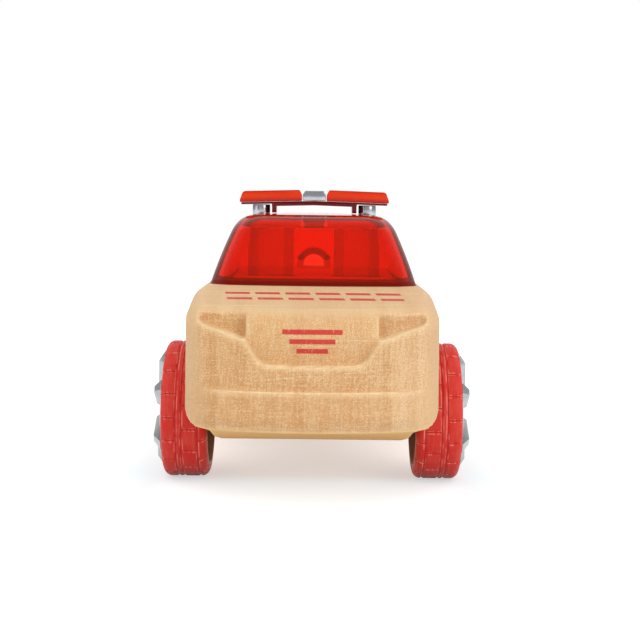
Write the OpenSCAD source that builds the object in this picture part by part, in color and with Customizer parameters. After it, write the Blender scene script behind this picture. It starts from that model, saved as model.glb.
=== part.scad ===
// Toy rescue car: a beech block body on four free-running wheels, with a lift-off clear
// cabin that carries a light bar. Millimetres. The ground is z = 0, the nose points to -Y,
// and the car's left-hand side is +X.

/* [Body] */
// Length of the wooden body
body_length = 116; // [108:1:126]
// Width of the wooden body
body_width = 47.6; // [46:0.2:52]
// Height of the flat deck that carries the cabin
deck_z = 38; // [36:0.5:41]
// Height of the flat underside
belly_z = 9; // [8.5:0.25:9.75]
// Height of the bumpers' lower edge
chin_z = 13.6; // [12.5:0.1:15]
// Radius of the lower long edges of the body
sill_r = 3.6; // [3:0.2:5]
// Radius of the upper long edges of the body
shoulder_r = 3; // [2:0.2:3.2]
// Chamfer along the keel
keel_chamfer = 1.2; // [0.6:0.1:2]
// Bow radius of the front in plan
front_bow_r = 62; // [50:1:90]
// Corner radius of the front in plan
front_corner_r = 12; // [9:0.5:13]
// Bow radius of the tail in plan
tail_bow_r = 84; // [60:1:120]
// Corner radius of the tail in plan
tail_corner_r = 9; // [6:0.5:10]
// Radius of the rolled edge round the deck's tail
tail_roll_r = 3.4; // [2.4:0.2:4.4]

/* [Bonnet and nose] */
// Bonnet length from the nose to the foot of the windscreen
bonnet_length = 34; // [32:0.5:38]
// Slope of the bonnet in degrees
bonnet_slope = 5.6; // [4:0.2:7]
// Radius of the rolled edge between bonnet and nose
nose_roll_r = 6; // [5:0.2:7]
// Radius of the rolled edge round the bonnet's front corners
corner_roll_r = 4; // [3.4:0.2:5]
// How far the nose panel lies behind the bumper
nose_recess = 2.6; // [1.8:0.1:3.2]
// Half width over which the nose panel runs out
nose_half_w = 20.8; // [20:0.2:21.4]
// Height of the ledge under the nose panel
ledge_z = 25.3; // [24:0.1:26.5]
// Half width of the flat of that ledge
ledge_half_w = 7.6; // [6:0.2:8.4]
// Corner radius of the ledge
ledge_r = 2.8; // [2:0.1:3.2]
// Height of the crease along the bumpers
crease_z = 20.8; // [19:0.1:22]
// How far the upper bumper lies behind the lower one
bumper_step = 0.9; // [0.5:0.1:1.3]
// Half width over which the bumper step runs out
crease_half_w = 20.3; // [19.5:0.1:20.7]

/* [Headlamp and tail lamp hollows] */
// Distance of a headlamp hollow's inner wall from the middle
lamp_inner_x = 12.1; // [11.5:0.1:13]
// Height of a headlamp hollow's floor at its inner wall
lamp_floor_z = 29.9; // [29.4:0.1:30.6]
// Height of a headlamp hollow's outer tip
lamp_tip_z = 32.7; // [32:0.1:33.2]
// Height of a headlamp hollow's top edge
lamp_top_z = 34.6; // [34:0.1:35]
// Depth of a headlamp hollow behind the nose panel
lamp_depth = 2.6; // [1.8:0.1:3.2]
// Width of a tail lamp hollow
tail_lamp_w = 5.5; // [4:0.5:6.5]
// Height of a tail lamp hollow
tail_lamp_h = 8; // [6:0.5:9]
// Depth of a tail lamp hollow
tail_lamp_d = 2.2; // [1.5:0.1:3]
// Distance of a tail lamp hollow's middle from the middle
tail_lamp_x = 15.5; // [14:0.5:16.5]
// Height of a tail lamp hollow's middle
tail_lamp_z = 28.4; // [27.5:0.1:29.5]

/* [Cabin] */
// Half width of the cabin at the deck
cabin_half_w = 21.3; // [20.8:0.1:21.3]
// Height of the cabin from deck to roof edge
cabin_h = 14.2; // [13:0.1:16]
// Crown of the roof above the roof edge
roof_crown = 0.45; // [0.2:0.05:0.9]
// Length of the bare deck behind the cabin
tail_deck = 10; // [8:0.5:14]
// How far each side leans in by the roof edge
side_lean = 4.9; // [4.2:0.1:5.4]
// How far the windscreen leans back by the roof edge
screen_lean = 18.4; // [16:0.2:21]
// How far the rear window leans forward by the roof edge
rear_lean = 10.4; // [8:0.2:13]
// Corner radius of the cabin in plan
cabin_corner_r = 4.6; // [3.8:0.2:6]
// Radius of the edge between walls and roof
roof_edge = 3.6; // [3:0.2:4.4]
// Wall thickness of the cabin
cabin_wall = 1.8; // [1.4:0.1:2]
// Radius of the finger notch in the rear window
notch_r = 2.6; // [2.2:0.1:3.2]
// Thickness of the rim round the finger notch
notch_rim = 1.7; // [1.2:0.1:2]

/* [Cabin legs] */
// Distance of a box leg's middle from the middle of the car
leg_x = 9.6; // [9.4:0.1:9.8]
// Width of a box leg
leg_w = 10.2; // [9.6:0.1:10.6]
// Length of a box leg along the car
leg_l = 10; // [8:0.5:12]
// Wall of a box leg
leg_wall = 2; // [1.5:0.1:2.4]
// How deep a box leg goes into its mortise
leg_depth = 5.5; // [4:0.5:7]
// Distance of the legs and the light bar behind the foot of the windscreen
bar_offset = 31; // [28:0.5:34]

/* [Light bar] */
// Length of the light bar across the car
bar_length = 33.6; // [31:0.2:36]
// Depth of the light bar along the car
bar_depth = 8; // [6.5:0.25:9]
// Height of a lens
lens_h = 2.5; // [2:0.1:3.2]
// Droop of each half of the bar in degrees
bar_droop = 1.7; // [0:0.1:3]
// Width of the bright middle block
centre_w = 5.2; // [4.8:0.1:6.5]
// Height of the bright middle block
centre_h = 2.2; // [1.7:0.1:2.5]
// Thickness of the bracket under the lenses
bracket_t = 1; // [0.8:0.05:1.3]
// Distance of the posts from the middle
post_x = 12; // [11.7:0.1:12.3]
// Radius of a post
post_r = 2; // [1.7:0.05:2.2]
// Height of a post above its pad
post_h = 1.2; // [0.9:0.1:2]
// Radius of a post's peg
peg_r = 1; // [0.8:0.05:1.1]

/* [Wheels] */
// Wheelbase
wheelbase = 61; // [58:0.5:64]
// Distance of the front axle behind the nose
front_overhang = 31; // [30:0.5:33]
// Outer radius of a tyre
tyre_r = 13.4; // [13:0.1:14]
// Width of a tyre
tyre_w = 9; // [8.6:0.1:9.8]
// Radius of the tyre's seat on the rim
seat_r = 10.7; // [10.4:0.1:11]
// Radius of the rounded tyre shoulder
tyre_shoulder_r = 1.9; // [1.2:0.1:2]
// Depth of the tread grooves
groove_d = 0.45; // [0.3:0.05:0.6]
// Width of the tread grooves
groove_w = 0.42; // [0.3:0.02:0.6]
// Tread blocks round each row
tread_blocks = 18; // [12:2:22]
// Number of spokes
spoke_count = 6; // [5:1:7]
// How far the spokes stand out of the tyre's outer face
spoke_proud = 1.65; // [1:0.05:1.9]
// Radial clearance of the wheel arches
arch_gap = 1.6; // [1.2:0.1:2]
// Depth of the wheel arches into the body sides
arch_depth = 5; // [4.5:0.1:5.5]
// Gap between a wheel arch's floor and the tyre
wheel_gap = 1.3; // [1:0.1:1.6]

/* [Axles and bushes] */
// Radius of a stub axle
axle_r = 1.5; // [1.2:0.05:1.6]
// Outer radius of a bush
bush_r = 2.75; // [2.5:0.05:3]
// Length of a bush inside the body
bush_l = 12; // [10:0.5:14]
// Radius of a bush's flange
flange_r = 4.2; // [3.8:0.1:5]
// Thickness of a bush's flange
flange_t = 0.8; // [0.6:0.05:0.9]
// Width of the snap groove near the axle's inner end
snap_w = 1; // [0.8:0.1:1.4]
// Depth of the snap groove
snap_d = 0.3; // [0.2:0.05:0.4]
// Radial running clearance of an axle in its bush
run_clear = 0.05; // [0.02:0.01:0.1]
// Clearance of parts that are pressed together
press_clear = 0.03; // [0.02:0.01:0.05]
// Side clearance of the cabin legs in their mortises
leg_clear = 0.2; // [0.15:0.05:0.4]

/* [Hidden] */
WHEELS = ["front_left", "front_right", "rear_left", "rear_right"];
$fn = 64;

arc_steps = 8;
over = 1;          // how far a cutter runs past the face that it cuts
big = 200;         // longer than the car

half_w = body_width / 2;
nose_y = -body_length / 2;
tail_y = body_length / 2;
keel_half_w = half_w - arch_depth;
screen_y = nose_y + bonnet_length;
cabin_rear_y = tail_y - tail_deck;
bar_y = screen_y + bar_offset;

axle_z = tyre_r;
arch_r = tyre_r + arch_gap;
wheel_x = keel_half_w + wheel_gap;          // inner face of a tyre
axle_ys = [nose_y + front_overhang, nose_y + front_overhang + wheelbase];

roof_z = deck_z + cabin_h;                  // roof edge
roof_top = roof_z + roof_crown;
leg_bite = 0.45;                            // share of the roof's thickness that a leg reaches into
leg_top = roof_z - (1 - leg_bite) * cabin_wall;

wood = "burlywood";
clear_red = [0.85, 0.1, 0.08, 0.6];
lens_red = [0.93, 0.22, 0.1];
chrome = "silver";
tyre_red = [0.78, 0.16, 0.15];
steel = "lightgray";
nylon = "ivory";

function arc(c, r, a0, a1) =
    [for (i = [0:arc_steps]) let (a = a0 + (a1 - a0) * i / arc_steps) c + r * [cos(a), sin(a)]];
function flip_x(points) = [for (p = points) [-p[0], p[1]]];
function backwards(list) = [for (i = [len(list) - 1:-1:0]) list[i]];
function inner_of(list) = [for (i = [1:len(list) - 2]) list[i]];
// A closed outline from its right half, whose first and last points lie on x = 0
function both_halves(half) = concat(half, backwards(inner_of(flip_x(half))));
// Radius of the arc that is s deep in the middle and meets the point (x, y)
function bow_radius(x, y, s) = (x * x + (y - s) * (y - s)) / (2 * (y - s));

// Extrusions of a drawing in (x, z) along the car and in (y, z) across it
module along_car(l = big) { rotate([90, 0, 0]) linear_extrude(l, center = true) children(); }
module across_car(l = big) { rotate([90, 0, 90]) linear_extrude(l, center = true) children(); }
module both_sides() {
    children();
    mirror([1, 0, 0]) children();
}

// Body outlines

// Where a bow of radius bow and a corner of radius corner meet, from the corner's middle
function corner_drop(bow, corner) =
    sqrt(pow(bow - corner, 2) - pow(half_w - corner, 2));
front_drop = corner_drop(front_bow_r, front_corner_r);
tail_drop = corner_drop(tail_bow_r, tail_corner_r);
front_corner = [half_w - front_corner_r, nose_y + front_bow_r - front_drop];
tail_corner = [half_w - tail_corner_r, tail_y - tail_bow_r + tail_drop];
front_turn = atan2(-front_drop, front_corner[0]);
tail_turn = atan2(tail_drop, tail_corner[0]);
plan_half = concat(
    arc([0, nose_y + front_bow_r], front_bow_r, -90, front_turn),
    inner_of(concat([[0, 0]], arc(front_corner, front_corner_r, front_turn, 0), [[0, 0]])),
    arc(tail_corner, tail_corner_r, 0, tail_turn),
    arc([0, tail_y - tail_bow_r], tail_bow_r, tail_turn, 90)
);

// How far behind the nose the plan outline lies at x, on the front corner
function corner_y(x) =
    front_corner[1] - nose_y - sqrt(pow(front_corner_r, 2) - pow(x - front_corner[0], 2));

section_half = concat(
    [[0, belly_z], [keel_half_w - keel_chamfer, belly_z], [keel_half_w, belly_z + keel_chamfer],
     [keel_half_w, chin_z]],
    arc([half_w - sill_r, chin_z + sill_r], sill_r, -90, 0),
    arc([half_w - shoulder_r, deck_z - shoulder_r], shoulder_r, 0, 90),
    [[0, deck_z]]
);

chin_flat = 4;               // from the bumper's face to the start of the ramp
front_ramp = 21;             // from the nose to the flat underside
tail_ramp = 17;
side_outline = concat(
    [[nose_y, chin_z], [nose_y + chin_flat, chin_z], [nose_y + front_ramp, belly_z],
     [tail_y - tail_ramp, belly_z], [tail_y - chin_flat, chin_z], [tail_y, chin_z]],
    [[tail_y, deck_z], [screen_y, deck_z], [nose_y, deck_z - bonnet_length * tan(bonnet_slope)]]
);

// Front view of what lies above the ledge: the nose panel with the lamp hollows beside it
ledge_turn = -28;
nose_half = concat(
    [[0, ledge_z]],
    arc([ledge_half_w, ledge_z + ledge_r], ledge_r, -90, ledge_turn),
    [[lamp_inner_x, lamp_floor_z], [nose_half_w, lamp_tip_z]],
    [[nose_half_w, deck_z + over], [0, deck_z + over]]
);
lamp_tip_r = 0.9;
lamp_tip_turn = 60;
lamp_outline = concat(
    [[lamp_inner_x, lamp_floor_z]],
    arc([nose_half_w - lamp_tip_r, lamp_tip_z + lamp_tip_r], lamp_tip_r, -lamp_tip_turn, lamp_tip_turn),
    [[lamp_inner_x, lamp_top_z]]
);

// An upright face that is bowed in plan, depth deep in the middle and running out into the
// body's corner at the half width; the module is what lies behind that face
function run_out_bow(depth, run_out) = bow_radius(run_out, corner_y(run_out), depth);
module behind_bow(depth, bow) {
    translate([0, nose_y + depth + bow, 0]) cylinder(r = bow, h = big, $fn = 256);
}
// Moves and tilts a drawing from the foot of the windscreen onto the bonnet's slope
module on_bonnet() { translate([0, screen_y, deck_z]) rotate([bonnet_slope, 0, 0]) children(); }

// What is rolled off the bonnet's edges: a strip along each side, which runs out towards the
// windscreen, and a quarter ring round each front corner, both lying on the bonnet's slope
roll_rise = 0.03;            // lifts each roll a hair, so that it cuts the bonnet in a clear line
roll_fade = 1.5;             // degrees by which the side strips leave the edge
roll_out = 0.3;              // the sloping ring is this much wider than the upright corner
corner_run = front_corner[1] - screen_y;
module roll_profile(x, r) polygon(concat(
    arc([x - r, roll_rise - r], r, 0, 90),
    [[x - r, over], [x + over, over], [x + over, roll_rise - r]]));
module at_corners() { both_sides() on_bonnet() translate([front_corner[0], corner_run, 0]) children(); }
module corner_rings() {
    at_corners() rotate(-90) rotate_extrude(angle = 90, $fn = 128)
        roll_profile(front_corner_r + roll_out, corner_roll_r);
}
module side_strips() {
    at_corners() rotate([roll_fade, 0, -roll_fade]) rotate([-90, 0, 0]) mirror([0, 1, 0])
        linear_extrude(-corner_run) roll_profile(front_corner_r + roll_out, corner_roll_r);
}
// The same round the tail: a ring round each corner, and one along the bow
tail_step_y = tail_y - bumper_step - tail_bow_r;      // middle of the upper tail's bow
module tail_corner_rings() {
    both_sides() translate([tail_corner[0], tail_corner[1], deck_z]) rotate_extrude(angle = 90, $fn = 128)
        roll_profile(tail_corner_r + roll_out, tail_roll_r);
}
module tail_bow_ring() {
    translate([0, tail_step_y, deck_z]) rotate_extrude($fn = 256) roll_profile(tail_bow_r, tail_roll_r);
}

// The nose panel with its rolled upper edge, square to the bonnet's slope
nose_skirt = 18;             // how far the panel's face reaches down from the bonnet
nose_bow = run_out_bow(nose_recess, nose_half_w);
roll_y = (nose_recess - bonnet_length - nose_roll_r * sin(bonnet_slope)) / cos(bonnet_slope);
module nose_form() {
    on_bonnet() translate([0, roll_y + nose_bow, roll_rise]) rotate_extrude($fn = 256)
        polygon(concat(
            [[0, -nose_skirt], [nose_bow, -nose_skirt]],
            arc([nose_bow - nose_roll_r, -nose_roll_r], nose_roll_r, 0, 90),
            [[0, 0]]));
}

module from_the_front(l) { translate([0, nose_y, 0]) along_car(2 * l) children(); }
module front_cuts() {
    difference() {
        from_the_front(front_corner_r) translate([-half_w, crease_z]) square([body_width, deck_z]);
        behind_bow(bumper_step, run_out_bow(bumper_step, crease_half_w));
    }
    difference() {
        from_the_front(front_corner_r) polygon(both_halves(nose_half));
        nose_form();
    }
    both_sides() difference() {
        from_the_front(front_corner_r) polygon(lamp_outline);
        behind_bow(nose_recess + lamp_depth, nose_bow - lamp_depth);
    }
}

tail_lamp_r = 1.2;
module tail_cuts() {
    difference() {
        translate([-half_w, tail_y - tail_corner_r, crease_z]) cube([body_width, big, deck_z]);
        translate([0, tail_step_y, 0]) cylinder(r = tail_bow_r, h = big, $fn = 256);
    }
    both_sides() translate([tail_lamp_x, tail_y, tail_lamp_z])
        along_car(2 * (tail_lamp_d + bumper_step + tail_x_drop(tail_lamp_x)))
            rounded_box(tail_lamp_w, tail_lamp_h, tail_lamp_r);
}
// How far the tail has bowed forward at x
function tail_x_drop(x) = tail_bow_r - sqrt(pow(tail_bow_r, 2) - x * x);
module rounded_box(w, h, r) {
    square([w - 2 * r, h], center = true);
    square([w, h - 2 * r], center = true);
    for (x = [-1, 1], y = [-1, 1]) translate([x * (w / 2 - r), y * (h / 2 - r)]) circle(r);
}

bore_run_on = 1;                      // how far a bush's hole goes past it
module wheel_cuts() {
    for (y = axle_ys) both_sides() translate([keel_half_w, y, axle_z]) rotate([0, 90, 0]) {
        cylinder(r = arch_r, h = arch_depth + over, $fn = 128);
        translate([0, 0, -bush_l - bore_run_on])
            cylinder(r = bush_r + press_clear, h = bush_l + bore_run_on + over);
    }
}

mortise_floor_gap = 0.5;
module mortises() {
    deep = leg_depth + mortise_floor_gap;
    both_sides() translate([leg_x, bar_y, deck_z - deep / 2 + over / 2])
        cube([leg_w + 2 * leg_clear, leg_l + 2 * leg_clear, deep + over], center = true);
}

module plain_block() intersection() {
    across_car(body_width + over) polygon(side_outline);
    linear_extrude(big) polygon(both_halves(plan_half));
    along_car() polygon(both_halves(section_half));
}
module front_rolled_block() difference() {
    difference() {
        plain_block();
        side_strips();
    }
    corner_rings();
}
module rolled_block() difference() {
    difference() {
        front_rolled_block();
        tail_corner_rings();
    }
    tail_bow_ring();
}
module body_block() color(wood) difference() {
    rolled_block();
    front_cuts();
    tail_cuts();
    wheel_cuts();
    mortises();
}

// Cabin: level rings from the deck to the roof, outside and then inside

corner_steps = 5;
edge_steps = 4;
wall_rings = 5;
edge_rings = 5;
roof_rings = 4;
screen_bow = 1.2;                     // how far the windscreen and rear window bulge in plan
side_swell = 0.35;                    // how far the sides swell out halfway up
corner_cap_w = 0.9;                   // largest corner radius as a share of a ring's half width
corner_cap_l = 0.45;                  // and of its length
corner_min = 1;                       // smallest corner radius of the roof
skin_shrink = 0.6;                    // corner radius that an inner skin loses for its depth
inset_shrink = 0.4;                   // corner radius that a ring loses when it is drawn in

// A level ring as [half width, front y, rear y, z, corner radius]; front and rear bulge in plan
function ring_points(g) = let (
    w = g[0], f = g[1], b = g[2], r = min(g[4], corner_cap_w * w, corner_cap_l * (b - f)),
    span = w - r,
    corner = function (cx, cy, a0) [for (i = [0:corner_steps])
        let (a = a0 + 90 * i / corner_steps) [cx + r * cos(a), cy + r * sin(a)]],
    edge = function (p, q) [for (i = [1:edge_steps]) p + (q - p) * i / (edge_steps + 1)],
    flat = concat(
        corner(span, f + r, -90), edge([w, f + r], [w, b - r]),
        corner(span, b - r, 0), edge([span, b], [-span, b]),
        corner(-span, b - r, 90), edge([-w, b - r], [-w, f + r]),
        corner(-span, f + r, 180), edge([-span, f], [span, f])),
    bulge = function (p) screen_bow * (1 - pow(p[0] / w, 2)) * (2 * (p[1] - f) / (b - f) - 1)
) [for (p = flat) [p[0], p[1] + bulge(p) * min(1, w / cabin_half_w), g[3]]];
function mix(a, b, t) = a + (b - a) * t;
function bend(a, b, c, t) = mix(mix(a, b, t), mix(b, c, t), t);

// Rings of one skin that lies t inside the outer skin; the roof's edge keeps the wall's thickness
function level(lean, t) = t * sqrt(1 + pow(lean / cabin_h, 2));
wall_share = 1 - roof_edge / cabin_h; // how much of the height is straight wall
function wall_ring(u, t) = [
    cabin_half_w - side_lean * u + side_swell * 4 * u * (1 - u) - level(side_lean, t),
    screen_y + screen_lean * u + level(screen_lean, t),
    cabin_rear_y - rear_lean * u - level(rear_lean, t),
    deck_z + u * cabin_h,
    cabin_corner_r - skin_shrink * t];
function at_z(g, z) = [g[0], g[1], g[2], z, g[4]];
function inset(g, d) = [g[0] - d, g[1] + d, g[2] - d, g[3], max(corner_min, g[4] - inset_shrink * d)];
function roof_ring(t) = at_z(inset(wall_ring(1, t), roof_edge - t), roof_z - t);
function edge_ring(u, t) =
    bend(wall_ring(wall_share, t), at_z(wall_ring(1, t), roof_z - t), roof_ring(t), u);
function crown_ring(u, t) = let (g = roof_ring(t), mid = (g[1] + g[2]) / 2, k = 1 - u) [
    g[0] * k, mid + (g[1] - mid) * k, mid + (g[2] - mid) * k, g[3] + roof_crown * (1 - k * k), g[4] * k];
function skin(t) = concat(
    [for (i = [0:wall_rings]) ring_points(wall_ring(wall_share * i / wall_rings, t))],
    [for (i = [1:edge_rings]) ring_points(edge_ring(i / edge_rings, t))],
    [for (i = [1:roof_rings - 1]) ring_points(crown_ring(i / roof_rings, t))]);
pole_y = (roof_ring(0)[1] + roof_ring(0)[2]) / 2;

// Faces between rings that follow each other, and from a ring to the pole with number p
function ring_faces(count, n) = [for (k = [0:count - 2], i = [0:n - 1])
    let (a = k * n + i, b = k * n + (i + 1) % n) each [[a, a + n, b], [b, a + n, b + n]]];
function pole_up(p, first, n) = [for (i = [0:n - 1]) [p, first + (i + 1) % n, first + i]];
function pole_down(p, n) = [for (i = [0:n - 1]) [p, i, (i + 1) % n]];

module ring_shell() {
    outer = skin(0);
    inner = backwards(skin(cabin_wall));
    n = len(outer[0]);
    rings = concat(inner, outer);
    poles = [[0, pole_y, roof_top - cabin_wall], [0, pole_y, roof_top]];
    points = concat([for (r = rings) each r], poles);
    first_pole = len(points) - 2;
    faces = concat(
        ring_faces(len(rings), n),
        pole_down(first_pole, n),
        pole_up(first_pole + 1, (len(rings) - 1) * n, n));
    polyhedron(points, faces, convexity = 6);
}
// Everything inside the outer skin, down to the deck
module ring_solid() {
    outer = skin(0);
    n = len(outer[0]);
    points = concat([for (r = outer) each r], [[0, pole_y, deck_z], [0, pole_y, roof_top]]);
    first_pole = len(points) - 2;
    faces = concat(
        ring_faces(len(outer), n),
        pole_down(first_pole, n),
        pole_up(first_pole + 1, (len(outer) - 1) * n, n));
    polyhedron(points, faces, convexity = 2);
}

notch_rise = 0.9;                     // height of the notch's middle above the deck
notch_run = 8;                        // how far the notch's rim reaches into the cabin
module notch_rod(r) {
    translate([0, cabin_rear_y - notch_run, deck_z + notch_rise]) rotate([-90, 0, 0])
        cylinder(r = r, h = 2 * notch_run);
}

pad_margin = 0.3;                     // how far a post's pad stands out round the post
peg_reach = 1.6;                      // length of a peg below the roof's edge, in roof thicknesses
hole_reach = 2;                       // the same for its hole
module leg_outside() {
    translate([leg_x - leg_w / 2, bar_y - leg_l / 2, deck_z - leg_depth])
        cube([leg_w, leg_l, leg_top - deck_z + leg_depth]);
}
module leg_inside() {
    translate([leg_x - leg_w / 2 + leg_wall, bar_y - leg_l / 2 + leg_wall, deck_z - leg_depth - over])
        cube([leg_w - 2 * leg_wall, leg_l - 2 * leg_wall, roof_z - cabin_wall - deck_z + leg_depth + over]);
}
module cabin_shell() color(clear_red) difference() {
    union() {
        ring_shell();
        intersection() {
            ring_solid();
            notch_rod(notch_r + notch_rim);
        }
        both_sides() {
            difference() {
                leg_outside();
                leg_inside();
            }
            translate([post_x, bar_y, leg_top]) cylinder(r = post_r + pad_margin, h = roof_top - leg_top);
        }
    }
    both_sides() translate([post_x, bar_y, roof_z - hole_reach * cabin_wall])
        cylinder(r = peg_r + press_clear, h = 2 * hole_reach * cabin_wall);
    translate([0, -over, 0]) notch_rod(notch_r);
}

// Light bar: each half is drawn level, then droops from the middle

bar_half = bar_length / 2;
seat_gap = 0.05;                       // between pieces of the bar that rest on each other
lens_gap = 0.1;                        // between a lens and the middle block
post_drop = (post_x + post_r) * tan(bar_droop);
bracket_z = roof_top + post_h + post_drop + seat_gap;   // underside of the bracket in the middle
lens_z = bracket_z + bracket_t + seat_gap;
module drooping(z) { translate([0, bar_y, z]) rotate([0, bar_droop, 0]) children(); }

post_chamfer = 0.2;
module light_bar_post() color(chrome) {
    top = post_h - seat_gap;
    peg_l = peg_reach * cabin_wall;
    translate([post_x, bar_y, roof_top + seat_gap]) rotate_extrude() polygon([
        [0, 0], [post_r - post_chamfer, 0], [post_r, post_chamfer],
        [post_r, top - post_chamfer], [post_r - post_chamfer, top], [0, top]]);
    translate([post_x, bar_y, roof_z - peg_l])
        cylinder(r = peg_r, h = roof_top - roof_z + peg_l + 2 * seat_gap);
}

bracket_side = 1.2;                    // how far the lenses stand past the bracket at front and rear
bracket_end = 0.4;                     // the same at the outer ends
foot_t = 1;
foot_gap = 0.15;                       // between a foot and the roof
foot_side = 0.2;                       // between a foot and the pad beside it
foot_in = post_x - post_r - pad_margin - foot_side - foot_t;
// Height of the roof at x, on its line below the bar
function roof_at(x) = roof_z + roof_crown * (1 - pow(x / roof_ring(0)[0], 2));
module bracket_half() {
    difference() {
        drooping(bracket_z) translate([-over, -bar_depth / 2 + bracket_side, 0])
            cube([bar_half - bracket_end + over, bar_depth - 2 * bracket_side, bracket_t]);
        translate([-big, 0, 0]) cube([2 * big, 2 * big, 4 * big], center = true);
    }
    // A foot from the bracket down to just above the roof
    foot_low = roof_at(foot_in) + foot_gap;
    foot_top = bracket_z - foot_in * tan(bar_droop) + bracket_t / 2;
    translate([foot_in, bar_y - bar_depth / 2 + bracket_side, foot_low])
        cube([foot_t, bar_depth - 2 * bracket_side, foot_top - foot_low]);
}
module light_bar_bracket() color(clear_red) both_sides() bracket_half();

centre_top_w = 0.8;                    // share of the width that is left at the top
centre_cheek = 0.6;                    // share of the height below the slanted cheeks
centre_inset = 0.3;                    // how far the block lies behind the lenses' faces
module light_bar_centre() color(chrome) {
    half = centre_w / 2;
    cheek = centre_h * centre_cheek;
    translate([0, bar_y, lens_z]) along_car(bar_depth - 2 * centre_inset) polygon([
        [-half, 0], [half, 0], [half, cheek], [half * centre_top_w, centre_h],
        [-half * centre_top_w, centre_h], [-half, cheek]]);
}

lens_chamfer = 0.5;
lens_end_lean = 0.7;
lens_end_h = 0.25;                     // share of the height at which the end starts to lean
lens_face_lean = 0.5;
lens_face_h = 0.8;                     // share of the height at which the faces start to lean
sweep = 1.1;                           // how far the lens ends are swept back
module lens() color(lens_red) {
    x0 = centre_w / 2 + lens_gap + lens_h * sin(bar_droop);
    x1 = bar_half / cos(bar_droop);
    x2 = x1 - lens_end_lean;
    y1 = bar_depth / 2;
    face_h = lens_h * lens_face_h;
    drooping(lens_z) intersection() {
        along_car() polygon([
            [x0, 0], [x1, 0], [x1, lens_h * lens_end_h], [x2, lens_h - lens_chamfer / 2],
            [x2 - lens_chamfer, lens_h], [x0 + lens_chamfer, lens_h], [x0, lens_h - 2 * lens_chamfer]]);
        linear_extrude(lens_h) polygon([
            [x0, -y1], [x1 - lens_chamfer, -y1 + sweep], [x1, -y1 + sweep + lens_chamfer],
            [x1, y1 - lens_chamfer], [x1 - lens_chamfer, y1], [x0, y1]]);
        across_car() polygon([
            [-y1, 0], [y1, 0], [y1, face_h], [y1 - lens_face_lean, lens_h],
            [-y1 + lens_face_lean, lens_h], [-y1, face_h]]);
    }
}

// Wheels: drawn on the Z axis, with z = 0 at the tyre's inner face and +Z pointing outwards

module wheel_place(name) {
    y = axle_ys[search([name], WHEELS)[0] < 2 ? 0 : 1];
    left = search([name], WHEELS)[0] % 2 == 0;
    mirror([left ? 0 : 1, 0, 0]) translate([wheel_x, y, axle_z]) rotate([0, 90, 0]) children();
}

flange_face = flange_t - wheel_gap;    // outer face of a bush's flange
hub_gap = 0.3;
hub_in = flange_face + hub_gap;        // inner end of the rim's hub
hub_r = 3.4;
hub_sunk = 2.2;                        // how far the hub lies behind the tyre's outer face
hub_end = tyre_w - hub_sunk;
rim_lip = 0.5;                         // how far the rim's lips stand out of the tyre's seat
lip_w = 0.5;
lip_slope = 0.4;                       // width of the slope from a lip down to the seat
lip_edge = 0.45;                       // thickness of the inner lip
lip_dome = 0.2;                        // how far the outer lip rises to its inner edge
lip_proud = 0.1;
barrel_t = 1;
flare_l = 1.8;                         // length over which the barrel opens towards the car
web_t = 1.6;
web_in = hub_end - web_t;
dish_rise = 0.9;
dish_in = 2;                           // width of the dish's slope inside the outer lip
module rim_profile() {
    bore = axle_r + press_clear;
    barrel = seat_r - barrel_t;
    lip = seat_r + rim_lip;
    face = tyre_w + lip_proud;
    polygon([
        [bore, hub_in], [hub_r, hub_in], [hub_r, web_in],
        [barrel, web_in + dish_rise], [barrel, flare_l], [lip - lip_edge, 0],
        [lip, 0], [lip, lip_w], [seat_r, lip_w + lip_slope],
        [seat_r, tyre_w - lip_w - lip_slope], [lip, tyre_w - lip_w], [lip, face],
        [seat_r - rim_lip, face + lip_dome], [seat_r - dish_in, hub_end + dish_rise],
        [hub_r, hub_end], [bore, hub_end]]);
}

spoke_in_r = 2.5;
spoke_past_lip = 0.4;
spoke_out_r = seat_r + rim_lip + spoke_past_lip;
spoke_top = tyre_w + spoke_proud;
spoke_foot_w = 3.8;
spoke_top_w = 1.4;
spoke_bite = 0.6;                      // how far a spoke is let into the hub
spoke_rise = 1.6;                      // height of the slope at a spoke's inner end
spoke_run = 1.2;                       // length of that slope and of the fall to the lip
spoke_tip = 0.05;                      // height of a spoke's underside at its tip over the tyre
spoke_tip_t = 0.2;
spoke_under = 1.8;                     // where a spoke's underside leaves the dish
// Side view: rising from the hub, level, then falling to the rim's lip
spoke_side = [
    [spoke_in_r, hub_end - spoke_bite],
    [spoke_in_r, spoke_top - spoke_rise],
    [spoke_in_r + spoke_run, spoke_top],
    [seat_r - spoke_run, spoke_top],
    [spoke_out_r, tyre_w + spoke_tip + spoke_tip_t],
    [spoke_out_r, tyre_w + spoke_tip],
    [seat_r, tyre_w - spoke_bite / 2],
    [seat_r - spoke_under, hub_end + spoke_tip_t],
    [hub_r, hub_end - spoke_bite]];
module spoke() intersection() {
    rotate([90, 0, 0]) linear_extrude(2 * spoke_foot_w, center = true) polygon(spoke_side);
    // End view: flanks that taper to a narrow crest
    rotate([90, 0, 90]) linear_extrude(tyre_r) polygon([
        [-spoke_foot_w / 2, hub_end - over], [spoke_foot_w / 2, hub_end - over],
        [spoke_top_w / 2, spoke_top], [-spoke_top_w / 2, spoke_top]]);
}
module rim(name) color(chrome) wheel_place(name) {
    rotate_extrude($fn = 128) rim_profile();
    for (i = [0:spoke_count - 1]) rotate(i * 360 / spoke_count) spoke();
}

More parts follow.
